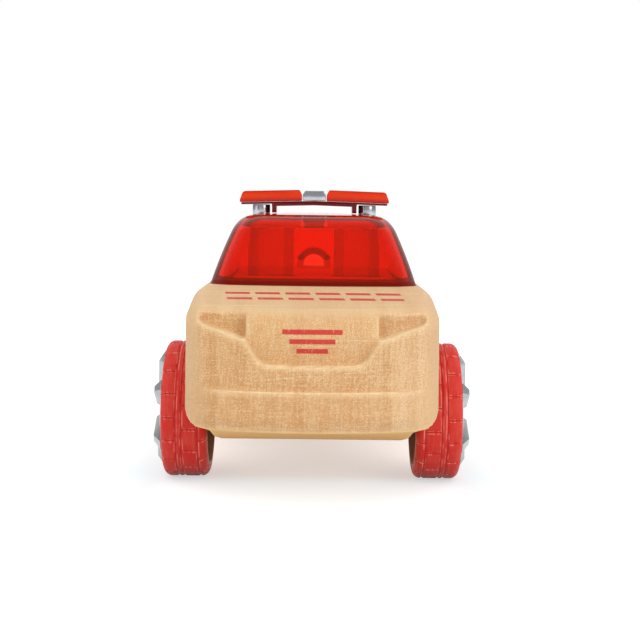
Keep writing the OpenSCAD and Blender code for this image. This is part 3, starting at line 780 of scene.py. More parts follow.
@dataclass(frozen=True)
class GlossFinish:
    """Coloured gloss plastic with faint flow marks and rubbed edges."""

    name: str
    colour: Colour
    # deeper tone: for the flow marks, and as painted shade on what faces down and at a lens's edges
    deep: Colour
    roughness: float
    glow: float = 0.0
    flow: Grain = Grain((7, 3, 2), 2.0, 1.0, (0.35, 0.75))
    rub: Grain = Grain((0.6, 0.6, 0.6), 3.0, 2.0, (0.5, 0.8))

    def tint(self, shader: Shader) -> Socket:
        """The colour: deeper along the flow marks, with painted shade on what faces down."""
        # painted shade on what faces down
        low = shader.facing[2].step(0.2, -0.8)
        return shader.mix(self.colour, self.deep, shader.patches(self.flow) * 0.35 + low * 0.4)

    def material(self) -> Material:
        """The finish as a material.

        Returns:
            The material.
        """
        shader = Shader(self.name)
        shader.surface(
            {
                "Base Color": self.tint(shader),
                "Roughness": self.roughness + shader.patches(self.rub) * 0.10,
                "Normal": shader.bump(shader.noise(self.flow) * 0.02 + shader.noise(self.rub) * 0.002),
                "Subsurface Weight": self.glow,
                "Subsurface Radius": (1.0, 0.25, 0.1),
                "Subsurface Scale": 0.8 * MM,
                "Specular IOR Level": 0.18,
                "Coat Weight": 0.04,
                "Coat Roughness": 0.06,
            }
        )
        return shader.owner


@dataclass(frozen=True)
class LensFinish(GlossFinish):
    """Gloss plastic of a drooping lens, with a painted glow along its middle and painted shade, deep red,
    at its edges.
    """

    # colour of the painted glow along the lens's middle
    bright: Colour = (0.85, 0.055, 0.005)
    lens_z: float = 55.37
    lens_h: float = 2.5
    droop: float = 1.7
    low_painted_shade: Pair = (0.42, 0.02)
    top_painted_shade: Pair = (0.84, 0.98)
    painted_glow_band: tuple[float, float, float] = (0.58, 0.2, 0.3)

    def tint(self, shader: Shader) -> Socket:
        """The colour: a painted glow along the lens's middle, painted shade at its edges.

        Args:
            shader: The shader to add to.

        Returns:
            The colour.
        """
        x, _, z = shader.spot
        share = (z + abs(x) * math.tan(math.radians(self.droop)) - self.lens_z) / self.lens_h
        # painted shade at the lens's edges, painted glow along its middle
        edges = share.step(*self.low_painted_shade).larger(share.step(*self.top_painted_shade))
        lit = share.within(*self.painted_glow_band) * (shader.noise(self.flow) * 0.8 + 0.3)
        return shader.layered(self.colour, (self.bright, lit), (self.deep, edges * 0.8))


@dataclass(frozen=True)
class PlatedFinish:
    """Bright plating on plastic, a little soft, with fine rubbing; on the wheels' inner side a brown,
    non-metal colour is a painted reflection of the wood, in shade.
    """

    name: str = "plated"
    bright: Colour = (0.54, 0.545, 0.57)
    dull: Colour = (0.41, 0.415, 0.44)
    metallic: float = 1.0
    # brown of the wheels' inner side: painted reflection of the wood in shade
    bare: Colour = (0.33, 0.165, 0.10)
    painted_reflection_within: float = 0.0
    bare_soft: float = 0.3
    cloud: Grain = Grain((3, 3, 3), 2.0, 1.0, (0.35, 0.75))
    rub: Grain = Grain((0.25, 0.9, 0.25), 3.0, 2.0, (0.45, 0.8))

    def material(self) -> Material:
        """The finish as a material.

        Returns:
            The material.
        """
        shader = Shader(self.name)
        # painted reflection of the wood, in shade, on the wheels' inner side
        bare = abs(shader.spot[0]).step(self.painted_reflection_within, self.painted_reflection_within - self.bare_soft)
        cloudy = shader.patches(self.cloud) * 0.6
        shader.surface(
            {
                "Base Color": shader.layered(self.bright, (self.dull, cloudy), (self.bare, bare)),
                "Metallic": self.metallic * (1 - bare),
                "Roughness": 0.15 + shader.patches(self.rub) * 0.14 + bare * 0.3,
                "Normal": shader.bump(shader.noise(self.cloud) * 0.012 + shader.noise(self.rub) * 0.0015),
            }
        )
        return shader.owner


@dataclass(frozen=True)
class SoftRedFinish:
    """Soft red tyre plastic: satin, paler where it is rubbed, with painted shade in the grooves and painted
    highlights along their edges.
    """

    colour: Colour = (0.665, 0.027, 0.018)
    rubbed: Colour = (0.70, 0.072, 0.052)
    # darker red in the grooves: painted shade
    deep: Colour = (0.44, 0.019, 0.013)
    # pale red along the groove edges: painted highlight
    lip: Colour = (0.92, 0.30, 0.26)
    cloud: Grain = Grain((3.2, 3.2, 3.2), 3.0, 1.0, (0.35, 0.7))
    grit: Grain = Grain((0.22, 0.22, 0.22), 2.0, 2.0)
    streak: Grain = Grain((0.5, 2.6, 2.6), 2.0, 3.0, (0.45, 0.7))
    painted_highlight_outer: Pair = (0.02, 0.22)
    painted_highlight_inner: Pair = (0.75, 0.4)
    painted_highlight_streak: Pair = (0.42, 0.62)

    def material(self) -> Material:
        """The finish as a material.

        Returns:
            The material.
        """
        shader = Shader("soft_red")
        grit, sunk = shader.noise(self.grit), shader.attribute("groove")
        worn = (shader.patches(self.cloud) * 0.5 + shader.patches(self.streak) * 0.45) * (1 - sunk)
        # Painted highlights along the groove edges.
        lips = sunk.step(*self.painted_highlight_outer) * sunk.step(*self.painted_highlight_inner)
        lips = lips * shader.noise(self.streak).step(*self.painted_highlight_streak)
        # painted shade in the grooves, painted highlights along their edges
        colour = shader.layered(
            self.colour, (self.rubbed, worn), (self.deep, sunk * 0.3), (self.lip, lips * 0.75)
        )
        shader.surface(
            {
                "Base Color": shader.shade(colour, (grit - 0.5) * 0.5 + 1.0),
                "Roughness": 0.38 + grit * 0.2,
                "Normal": shader.bump(grit * 0.02 + shader.noise(self.cloud) * 0.03),
                "Specular IOR Level": 0.2,
            }
        )
        return shader.owner


@dataclass(frozen=True)
class PlainFinish:
    """Small hidden metal or nylon pieces, with turning marks."""

    name: str
    colour: Colour
    metallic: float
    roughness: float
    turning: Grain = Grain((0.12, 2.0, 2.0), 2.0, 1.0)

    def material(self) -> Material:
        """The finish as a material.

        Returns:
            The material.
        """
        shader = Shader(self.name)
        turned = shader.noise(self.turning)
        shader.surface(
            {
                "Base Color": shader.shade(self.colour, turned * 0.3 + 0.85),
                "Metallic": self.metallic,
                "Roughness": self.roughness + turned * 0.12,
                "Normal": shader.bump(turned * 0.01),
            }
        )
        return shader.owner


# Mesh building


def filleted(points: Sequence[Pair], radius: float, steps: int = 4) -> list[Pair]:
    """Rounds the corners of a closed outline.

    Args:
        points: Corners of the outline in order.
        radius: How far from a corner the rounding starts, at most.
        steps: Number of short edges in each rounding.

    Returns:
        The points of the rounded outline.
    """
    most_share = 0.45
    made: list[Pair] = []
    count = len(points)
    for i, corner in enumerate(points):
        here = Vector(corner)
        before, after = Vector(points[i - 1]) - here, Vector(points[(i + 1) % count]) - here
        start = here + before.normalized() * min(radius, before.length * most_share)
        end = here + after.normalized() * min(radius, after.length * most_share)
        for k in range(steps + 1):
            t = k / steps
            made.append(tuple(start.lerp(here, t).lerp(here.lerp(end, t), t)))
    return made


def bridge(mesh: BMesh, rows: Sequence[Sequence[bmesh.types.BMVert]]) -> None:
    """Joins closed rows of points that follow each other by four-sided faces.

    Args:
        mesh: The mesh to add to.
        rows: The rows' points, in order.
    """
    for here, there in zip(rows, rows[1:]):
        for i in range(len(here)):
            k = (i + 1) % len(here)
            mesh.faces.new((here[i], there[i], there[k], here[k]))


def lathe(points: Sequence[Pair], turns: int) -> BMesh:
    """Turns a closed outline of (radius, height) in mm round Z; radii of zero close on the axis.

    Args:
        points: The outline in order, anticlockwise with the radius to the right.
        turns: Number of steps round the axis.

    Returns:
        The turned mesh, in mm.
    """
    mesh = bmesh.new()
    rows = []
    for i in range(turns):
        angle = math.tau * i / turns
        rows.append([mesh.verts.new((r * math.cos(angle), r * math.sin(angle), h)) for r, h in points])
    bridge(mesh, [*rows, rows[0]])
    bmesh.ops.remove_doubles(mesh, verts=mesh.verts, dist=10 * JOIN)
    bmesh.ops.dissolve_degenerate(mesh, edges=mesh.edges, dist=JOIN)
    bmesh.ops.recalc_face_normals(mesh, faces=mesh.faces)
    return mesh


def block(size: Sequence[float], middle: Sequence[float], round_by: float = 0.0) -> BMesh:
    """A box with rounded upright edges.

    Args:
        size: Its width, length and height in mm.
        middle: Where its middle lies, in mm.
        round_by: How far from a corner the rounding starts, in mm.

    Returns:
        The closed form, in mm.
    """
    w, l, h = size
    outline = [(-w / 2, -l / 2), (w / 2, -l / 2), (w / 2, l / 2), (-w / 2, l / 2)]
    if round_by:
        outline = filleted(outline, round_by, steps=5)
    made = bmesh.new()
    low = [made.verts.new((x + middle[0], y + middle[1], middle[2] - h / 2)) for x, y in outline]
    high = [made.verts.new((x + middle[0], y + middle[1], middle[2] + h / 2)) for x, y in outline]
    made.faces.new(low[::-1])
    made.faces.new(high)
    for i in range(len(outline)):
        k = (i + 1) % len(outline)
        made.faces.new((low[i], low[k], high[k], high[i]))
    return made


def rod(radius: float, length: float, middle: Sequence[float], along_y: bool = False) -> BMesh:
    """A plain rod for joining or cutting.

    Args:
        radius: Its radius in mm.
        length: Its length in mm.
        middle: Where its middle lies, in mm.
        along_y: Whether it lies along the car instead of upright.

    Returns:
        The closed form, in mm.
    """
    made = bmesh.new()
    bmesh.ops.create_cone(
        made, cap_ends=True, segments=ROUND_STEPS, radius1=radius, radius2=radius, depth=length
    )
    if along_y:
        made.transform(Matrix.Rotation(math.pi / 2, 4, "X"))
    made.transform(Matrix.Translation(middle))
    return made


def to_mesh(source: BMesh, name: str, scale: float = MM) -> Mesh:
    """Turns a bmesh in mm into a mesh in metres, and frees it.

    Args:
        source: The bmesh.
        name: Name of the mesh.
        scale: What its lengths are multiplied by.

    Returns:
        The mesh.
    """
    source.transform(Matrix.Diagonal((scale, scale, scale, 1)))
    mesh = bpy.data.meshes.new(name)
    source.to_mesh(mesh)
    source.free()
    return mesh


def smooth(mesh: Mesh, sharp_over: float = 180.0) -> Mesh:
    """Shades a mesh smooth, apart from edges sharper than an angle in degrees.

    Args:
        mesh: The mesh.
        sharp_over: The angle.

    Returns:
        The same mesh.
    """
    mesh.polygons.foreach_set("use_smooth", [True] * len(mesh.polygons))
    if sharp_over < 180:
        mesh.set_sharp_from_angle(angle=math.radians(sharp_over))
    mesh.update()
    return mesh


def merged_copy(node: str) -> Mesh:
    """A copy of a frame node's mesh with its loose triangles joined.

    Args:
        node: Name of the frame node.

    Returns:
        The copy, in metres.
    """
    source = bmesh.new()
    source.from_mesh(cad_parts[node].data)
    bmesh.ops.remove_doubles(source, verts=source.verts, dist=JOIN)
    return to_mesh(source, node + "_copy", 1.0)


def modified(mesh: Mesh, *modifiers: tuple[str, Mapping[str, object]]) -> Mesh:
    """Runs a mesh through modifiers and returns the result as a plain mesh.

    Args:
        mesh: The mesh to start from.
        modifiers: Each modifier's type and settings, in order; a setting that starts with "Socket_"
            is a Geometry Nodes input.

    Returns:
        A new mesh.
    """
    holder = bpy.data.objects.new("holder", mesh)
    bpy.context.scene.collection.objects.link(holder)
    for kind, settings in modifiers:
        modifier = holder.modifiers.new(kind.lower(), kind)
        for key, value in settings.items():
            if key.startswith("Socket_"):
                modifier[key] = value
            else:
                setattr(modifier, key, value)
    evaluated = holder.evaluated_get(bpy.context.evaluated_depsgraph_get())
    made = bpy.data.meshes.new_from_object(evaluated)
    holder.modifiers.clear()
    bpy.data.objects.remove(holder)
    return made


def bevelled(mesh: Mesh, width: float, segments: int, sharp_over: float = 20.0) -> Mesh:
    """A flat-sided mesh with rounded edges.

    Args:
        mesh: The mesh, in metres.
        width: Width of the rounding in mm.
        segments: Number of short faces in each rounding.
        sharp_over: Angle in degrees from which an edge is rounded.

    Returns:
        A new mesh, in metres.
    """
    over = {"limit_method": "ANGLE", "angle_limit": math.radians(sharp_over)}
    bevel = {"width": width * MM, "segments": segments, **over}
    return modified(mesh, ("BEVEL", bevel), ("WEIGHTED_NORMAL", {"keep_sharp": True}))


def combined(mesh: Mesh, tool: BMesh | Mesh, how: str) -> Mesh:
    """A mesh joined with, cut by or kept inside a tool.

    Args:
        mesh: The mesh, in metres.
        tool: A mesh in metres or a bmesh in mm.
        how: Blender's name of the operation.

    Returns:
        A new mesh, in metres.
    """
    holder = bpy.data.objects.new("tool", tool if isinstance(tool, Mesh) else to_mesh(tool, "tool"))
    bpy.context.scene.collection.objects.link(holder)
    made = modified(mesh, ("BOOLEAN", {"operation": how, "object": holder, "solver": "EXACT"}))
    bpy.data.objects.remove(holder)
    return made


def piece(name: str, mesh: Mesh, material: Material, body: str, slot: str, *nodes: str) -> None:
    """Makes a finished piece that rides on a body and stands for frame nodes.

    Args:
        name: Name of the piece.
        mesh: Its mesh, in place, in metres.
        material: Its finish.
        body: The body that it moves with.
        slot: The record's material slot; not used.
        nodes: The frame nodes that it stands for.
    """
    mesh.name = name
    mesh.materials.clear()
    mesh.materials.append(material)
    made = bpy.data.objects.new(name, mesh)
    bpy.context.scene.collection.objects.link(made)
    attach(made, body)
    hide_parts(*nodes)
    LOG.info("%s: %d faces, on %s", name, len(mesh.polygons), body)


def dress(node: str, material: Material) -> None:
    """Gives a frame node that stays in view its finish.

    Args:
        node: Name of the frame node.
        material: Its finish.
    """
    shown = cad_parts[node]
    shown.data.materials.clear()
    shown.data.materials.append(material)
    LOG.info("%s: frame node dressed", node)


class RingOfCopies:
    """A Geometry Nodes tree that repeats a piece evenly round the Z axis and welds the copies."""

    def __init__(self) -> None:
        """Builds the tree with its named inputs."""
        self.tree = bpy.data.node_groups.new("ring_of_copies", "GeometryNodeTree")
        self.add_socket("Geometry", "Geometry")
        self.copies = self.add_socket("Copies", "Int")
        self.weld = self.add_socket("Weld distance", "Float")
        self.finish = self.add_socket("Finish", "Material")
        self.add_socket("Geometry", "Geometry", "OUTPUT")
        inputs = self.add_node("NodeGroupInput").outputs
        points = self.add_node("GeometryNodePoints", Count=inputs["Copies"])
        index = self.add_node("GeometryNodeInputIndex")
        pitch = self.add_math("DIVIDE", math.tau, inputs["Copies"])
        euler = self.add_node("ShaderNodeCombineXYZ", Z=self.add_math("MULTIPLY", index.outputs[0], pitch))
        turn = self.add_node("FunctionNodeEulerToRotation", Euler=euler.outputs[0])
        spread = self.add_node(
            "GeometryNodeInstanceOnPoints",
            Points=points.outputs[0],
            Instance=inputs["Geometry"],
            Rotation=turn.outputs[0],
        )
        real = self.add_node("GeometryNodeRealizeInstances", Geometry=spread.outputs[0])
        welded = self.add_node(
            "GeometryNodeMergeByDistance", Geometry=real.outputs[0], Distance=inputs["Weld distance"]
        )
        dressed = self.add_node(
            "GeometryNodeSetMaterial", Geometry=welded.outputs[0], Material=inputs["Finish"]
        )
        self.add_node("NodeGroupOutput", Geometry=dressed.outputs[0])

    def add_socket(self, name: str, kind: str, way: str = "INPUT") -> str:
        """Adds an input or output to the tree and returns its identifier."""
        made = self.tree.interface.new_socket(name, in_out=way, socket_type="NodeSocket" + kind)
        return made.identifier

    def add_node(self, kind: str, **links: Socket) -> Node:
        """Adds a node and links its inputs by name.

        Args:
            kind: Blender's type name of the node.
            links: Sockets to link, by the input's name.

        Returns:
            The new node.
        """
        made = self.tree.nodes.new(kind)
        for key, socket in links.items():
            self.tree.links.new(socket, made.inputs[key])
        return made

    def add_math(self, name: str, *values: Socket | float) -> Socket:
        """Adds a Math node on sockets or numbers.

        Args:
            name: Blender's name of the operation.
            values: What it works on.

        Returns:
            Its result.
        """
        made = self.add_node("ShaderNodeMath")
        made.operation = name
        for socket, value in zip(made.inputs, values):
            if isinstance(value, Socket):
                self.tree.links.new(value, socket)
            else:
                socket.default_value = value
        return made.outputs[0]

    def repeat(self, mesh: Mesh, copies: int, weld: float, finish: Material) -> Mesh:
        """Repeats a mesh round Z.

        Args:
            mesh: One copy, in metres.
            copies: Number of copies in a full turn.
            weld: Distance within which points are joined, in metres.
            finish: Material of the result.

        Returns:
            The ring as a plain mesh.
        """
        inputs = {self.copies: copies, self.weld: weld, self.finish: finish}
        return modified(mesh, ("NODES", {"node_group": self.tree, **inputs}))


# Sub-assemblies


@dataclass
class BodyBlock:
    """The beech block with sanded edges, and the nylon bushes in it."""

    voxel: float = 0.42
    sanding: float = 0.5
    sanding_passes: int = 3
    kept_share: float = 0.62
    edge_gain: float = 7.0
    hollow_gain: float = 5.0
    edge_passes: int = 2

    def mesh(self) -> Mesh:
        """The block's mesh with softened edges.

        Returns:
            The mesh, in metres.
        """
        even = modified(
            merged_copy("body_block"),
            ("REMESH", {"mode": "VOXEL", "voxel_size": self.voxel * MM, "use_smooth_shade": True}),
            ("SMOOTH", {"factor": self.sanding, "iterations": self.sanding_passes}),
        )
        return smooth(modified(self.mark_edges(even), ("DECIMATE", {"ratio": self.kept_share})))

    def mark_edges(self, mesh: Mesh) -> Mesh:
        """Writes how far each point stands out of its neighbours, or lies behind them.

        The attributes are called "edge" and "hollow".

        Args:
            mesh: An even mesh.

        Returns:
            The same mesh.
        """
        count = len(mesh.vertices)
        place, normal = np.empty(count * 3), np.empty(count * 3)
        mesh.vertices.foreach_get("co", place)
        mesh.vertices.foreach_get("normal", normal)
        place, normal = place.reshape(-1, 3), normal.reshape(-1, 3)
        edges = np.empty(len(mesh.edges) * 2, dtype=np.int64)
        mesh.edges.foreach_get("vertices", edges)
        a, b = edges.reshape(-1, 2).T
        degree = np.bincount(np.concatenate((a, b)), minlength=count)[:, None]

        def around(values: np.ndarray) -> np.ndarray:
            """Mean of the neighbours' values.

            Args:
                values: A value for each point.

            Returns:
                The means.
            """
            total = np.zeros_like(values)
            np.add.at(total, a, values[b])
            np.add.at(total, b, values[a])
            return total / degree

        proud = ((place - around(place)) * normal).sum(1, keepdims=True) / (self.voxel * MM)
        for _ in range(self.edge_passes):
            proud = 0.5 * proud + 0.5 * around(proud)
        for name, values in (("edge", proud * self.edge_gain), ("hollow", -proud * self.hollow_gain)):
            share = np.clip(values, 0, 1).astype(np.float32).ravel()
            mesh.attributes.new(name, "FLOAT", "POINT").data.foreach_set("value", share)
        return mesh

    def build(self, beech: Material, nylon: Material) -> None:
        """Makes the block and dresses the bushes.

        Args:
            beech: Finish of the block.
            nylon: Finish of the bushes.
        """
        piece("beech_body", self.mesh(), beech, "body", "beech", "body_block")
        for corner in Corner:
            dress(f"bush_{corner.label}", nylon)


@dataclass
class Cabin:
    """The clear red cabin: level rings from deck to roof outside and inside, legs, pads and notch."""

    deck_z: float = 38.0
    seat_lift: float = 0.04
    half_w: float = 21.3
    height: float = 14.2
    crown: float = 0.45
    screen_y: float = -24.0
    rear_y: float = 48.0
    side_lean: float = 4.9
    screen_lean: float = 18.4
    rear_lean: float = 10.4
    corner_r: float = 4.6
    corner_least: float = 1.0
    corner_most: Pair = (0.9, 0.45)
    corner_inside: float = 0.6
    corner_roof: float = 0.4
    roof_edge: float = 3.6
    wall: float = 1.8
    notch_r: float = 2.6
    notch_rim: float = 1.7
    notch_rise: float = 0.9
    notch_run: float = 8.0
    screen_bow: float = 1.2
    side_swell: float = 0.35
    leg_x: float = 9.6
    leg_w: float = 10.2
    leg_l: float = 10.0
    leg_wall: float = 2.0
    leg_depth: float = 5.5
    leg_round: float = 0.8
    leg_in_roof: float = 0.55
    bar_y: float = 7.0
    post_x: float = 12.0
    pad_r: float = 1.85
    peg_hole_r: float = 1.03
    peg_hole_l: float = 7.2
    cut_past: float = 1.0
    sharp_over: float = 38.0
    corner_steps: int = 14
    edge_steps: int = 22
    wall_rings: int = 20
    bend_rings: int = 12
    roof_rings: int = 10

    @property
    def roof_z(self) -> float:
        """Height of the roof's edge."""
        return self.deck_z + self.height

    def ring_points(self, ring: np.ndarray) -> np.ndarray:
        """Points of a level ring.

        Args:
            ring: Half width, front, rear, height and corner radius.

        Returns:
            The points, one row each.
        """
        w, f, b, z, r = ring
        most_w, most_l = self.corner_most
        r = min(r, most_w * w, most_l * (b - f))
        span = w - r
        flat: list[Pair] = []

        def corner(cx: float, cy: float, start: float) -> None:
            """Adds a rounded corner.

            Args:
                cx: Its middle across the car.
                cy: Its middle along the car.
                start: Angle of its first point, in degrees.
            """
            for i in range(self.corner_steps + 1):
                a = math.radians(start + 90 * i / self.corner_steps)
                flat.append((cx + r * math.cos(a), cy + r * math.sin(a)))

        def edge(x0: float, y0: float, x1: float, y1: float) -> None:
            """Adds the points between two corners.

            Args:
                x0: First corner across the car.
                y0: First corner along the car.
                x1: Second corner across the car.
                y1: Second corner along the car.
            """
            for i in range(1, self.edge_steps + 1):
                t = i / (self.edge_steps + 1)
                flat.append((x0 + (x1 - x0) * t, y0 + (y1 - y0) * t))

        corner(span, f + r, -90)
        edge(w, f + r, w, b - r)
        corner(span, b - r, 0)
        edge(span, b, -span, b)
        corner(-span, b - r, 90)
        edge(-w, b - r, -w, f + r)
        corner(-span, f + r, 180)
        edge(-span, f, span, f)
        points = np.array(flat)
        bulge = self.screen_bow * (1 - (points[:, 0] / w) ** 2) * (2 * (points[:, 1] - f) / (b - f) - 1)
        points[:, 1] += bulge * min(1.0, w / self.half_w)
        return np.column_stack((points, np.full(len(points), z)))

    def wall_ring(self, u: float, t: float) -> np.ndarray:
        """A ring of the walls.

        Args:
            u: Share of the cabin's height.
            t: How far inside the outer skin it lies, in mm.

        Returns:
            Half width, front, rear, height and corner radius.
        """

        def level(lean: float) -> float:
            """Thickness t measured level through a leaning wall."""
            return t * math.hypot(1.0, lean / self.height)

        swell = self.side_swell * 4 * u * (1 - u)
        return np.array(
            (
                self.half_w - self.side_lean * u + swell - level(self.side_lean),
                self.screen_y + self.screen_lean * u + level(self.screen_lean),
                self.rear_y - self.rear_lean * u - level(self.rear_lean),
                self.deck_z + u * self.height,
                self.corner_r - self.corner_inside * t,
            )
        )

    def skin(self, t: float) -> list[np.ndarray]:
        """All rings of a skin, from the deck to near the roof's middle.

        Args:
            t: How far inside the outer skin it lies, in mm.

        Returns:
            The rings' points.
        """
        share, by = 1 - self.roof_edge / self.height, self.roof_edge - t
        base, top = self.wall_ring(share, t), self.wall_ring(1, t)
        top[3] = self.roof_z - t
        roof = top + np.array((-by, by, -by, 0, 0))
        roof[4] = max(self.corner_least, top[4] - self.corner_roof * by)
        rings = [self.wall_ring(share * i / self.wall_rings, t) for i in range(self.wall_rings + 1)]
        rings[0][3] += self.seat_lift
        for i in range(1, self.bend_rings + 1):
            u = i / self.bend_rings
            rings.append((base * (1 - u) + top * u) * (1 - u) + (top * (1 - u) + roof * u) * u)
        middle = (roof[1] + roof[2]) / 2
        for i in range(1, self.roof_rings):
            k = 1 - i / self.roof_rings
            front, rear = middle + (roof[1] - middle) * k, middle + (roof[2] - middle) * k
            height = roof[3] + self.crown * (1 - k * k)
            rings.append(np.array((roof[0] * k, front, rear, height, roof[4] * k)))
        return [self.ring_points(ring) for ring in rings]

    @staticmethod
    def stacked(rings: Sequence[np.ndarray], ends: Sequence[float]) -> BMesh:
        """A closed form of rings that follow each other.

        Args:
            rings: The rings' points.
            ends: Heights of the poles that close the first and the last ring.

        Returns:
            The closed form, in mm.
        """
        made = bmesh.new()
        rows = [[made.verts.new(point) for point in ring] for ring in rings]
        bridge(made, rows)
        count = len(rows[0])
        for row, height in zip((rows[0], rows[-1]), ends):
            pole = made.verts.new((0, sum(v.co.y for v in row) / count, height))
            for i in range(count):
                made.faces.new((row[i], row[(i + 1) % count], pole))
        bmesh.ops.recalc_face_normals(made, faces=made.faces)
        return made

    def shell(self) -> BMesh:
        """The closed shell of outer and inner skin."""
        top = self.roof_z + self.crown
        return self.stacked(self.skin(self.wall)[::-1] + self.skin(0.0), (top - self.wall, top))

    def envelope(self) -> BMesh:
        """Everything inside the outer skin."""
        return self.stacked(self.skin(0.0), (self.deck_z + self.seat_lift, self.roof_z + self.crown))

    def mesh(self) -> Mesh:
        """The whole cabin as one closed mesh.

        Returns:
            The mesh, in metres.
        """
        leg_top = self.roof_z - self.leg_in_roof * self.wall
        leg_low = self.deck_z - self.leg_depth
        leg = (self.leg_w, self.leg_l, leg_top - leg_low)
        leg_z = (leg_top + leg_low) / 2
        hollow_top = self.roof_z - self.wall
        inner_w, inner_l = self.leg_w - 2 * self.leg_wall, self.leg_l - 2 * self.leg_wall
        hollow = (inner_w, inner_l, hollow_top - leg_low + self.cut_past)
        hollow_z = (hollow_top + leg_low - self.cut_past) / 2
        pad_h = self.roof_z + self.crown - leg_top
        adds, cuts = [], []
        for side in SIDES:
            x, post_x = side * self.leg_x, side * self.post_x
            adds.append(block(leg, (x, self.bar_y, leg_z), self.leg_round))
            adds.append(rod(self.pad_r, pad_h, (post_x, self.bar_y, leg_top + pad_h / 2)))
            cuts.append(block(hollow, (x, self.bar_y, hollow_z), self.leg_round / 2))
            cuts.append(rod(self.peg_hole_r, self.peg_hole_l, (post_x, self.bar_y, self.roof_z)))
        run, notch = 2 * self.notch_run, (0, self.rear_y, self.deck_z + self.notch_rise)
        rim = to_mesh(rod(self.notch_r + self.notch_rim, run, notch, along_y=True), "rim")
        cuts.append(rod(self.notch_r, run + self.cut_past, notch, along_y=True))
        made = to_mesh(self.shell(), "cabin")
        made = combined(made, combined(rim, self.envelope(), "INTERSECT"), "UNION")
        for tools, how in ((adds, "UNION"), (cuts, "DIFFERENCE")):
            for tool in tools:
                made = combined(made, tool, how)
        return smooth(made, self.sharp_over)

    def build(self, clear_red: Material) -> None:
        """Makes the cabin."""
        piece("clear_cabin", self.mesh(), clear_red, "cabin", "clear_red", "cabin_shell")


@dataclass
class LightBar:
    """The light bar on the roof: two lenses, a bright middle block, a bracket and two posts."""

    lens_round: float = 0.28
    trim_round: float = 0.16
    round_steps: int = 4
    flat_within: float = 1.5
    post_x: float = 12.0
    bar_y: float = 7.0
    pad_z: float = 52.65
    post_r: float = 2.0
    post_h: float = 1.77
    post_sink: float = 0.6
    peg_r: float = 1.0
    peg_low: float = 49.32
    post_chamfer: float = 0.2
    sharp_over: float = 50.0
    bracket_z: float = 54.3155
    bracket_t: float = 1.0
    plate_t: float = 0.45
    foot_out: float = 9.55
    droop: float = 1.7
    cut_size: tuple[float, float, float] = (8.0, 10.0, 4.0)

    def softened(self, plain: Mesh, width: float) -> Mesh:
        """A flat-sided mesh with rounded edges.

        Args:
            plain: The mesh, in metres.
            width: Width of the rounding in mm.

        Returns:
            The softened mesh, in metres.
        """
        source = bmesh.new()
        source.from_mesh(plain)
        bmesh.ops.remove_doubles(source, verts=source.verts, dist=JOIN)
        flat = math.radians(self.flat_within)
        bmesh.ops.dissolve_limit(source, angle_limit=flat, verts=source.verts, edges=source.edges)
        bmesh.ops.recalc_face_normals(source, faces=source.faces)
        return smooth(bevelled(to_mesh(source, plain.name, 1.0), width, self.round_steps))

    def bracket_mesh(self) -> Mesh:
        """The bracket, with its plate thinned outside the feet so that the posts show.

        Returns:
            The mesh, in metres.
        """
        made = merged_copy("light_bar_bracket")
        run, _, deep = self.cut_size
        for side in SIDES:
            middle = (side * (self.foot_out + run / 2), 0.0, self.bracket_t - self.plate_t - deep / 2)
            tool = block(self.cut_size, middle)
            turn = Matrix.Rotation(side * math.radians(self.droop), 4, "Y")
            tool.transform(Matrix.Translation((0, self.bar_y, self.bracket_z)) @ turn)
            made = combined(made, tool, "DIFFERENCE")
        return made

    def post_mesh(self, side: int) -> Mesh:
        """An upright post with its peg, on one side of the car.

        Args:
            side: +1 on the car's left, -1 on its right.

        Returns:
            The mesh, in metres.
        """
        low = self.peg_low - self.pad_z
        foot = -self.post_sink
        corners = [(self.post_r, foot), (self.post_r, self.post_h)]
        outline = [(0.0, low), (self.peg_r, low), (self.peg_r, foot), *corners, (0.0, self.post_h)]
        rounded = filleted(outline, self.post_chamfer)
        steps = len(rounded) // len(outline)
        made = lathe([(0.0, low), *rounded[steps:-steps], (0.0, self.post_h)], ROUND_STEPS)
        made.transform(Matrix.Translation((side * self.post_x, self.bar_y, self.pad_z)))
        return smooth(to_mesh(made, "post"), self.sharp_over)

    def build(self, lens: Material, plated: Material, red: Material) -> None:
        """Makes the light bar's pieces.

        Args:
            lens: Finish of the lenses.
            plated: Finish of the middle block and the posts.
            red: Finish of the bracket.
        """
        for name, side in zip(("left", "right"), SIDES):
            node = f"light_bar_lens_{name}"
            shape = self.softened(merged_copy(node), self.lens_round)
            piece(f"lens_{name}", shape, lens, "cabin", "lens", node)
            node = f"light_bar_post_{name}"
            piece(f"post_{name}", self.post_mesh(side), plated, "cabin", "plated", node)
        node = "light_bar_centre"
        shape = self.softened(merged_copy(node), self.trim_round)
        piece("bar_centre", shape, plated, "cabin", "plated", node)
        bracket = self.softened(self.bracket_mesh(), self.trim_round)
        piece("bar_bracket", bracket, red, "cabin", "red_plastic", "light_bar_bracket")


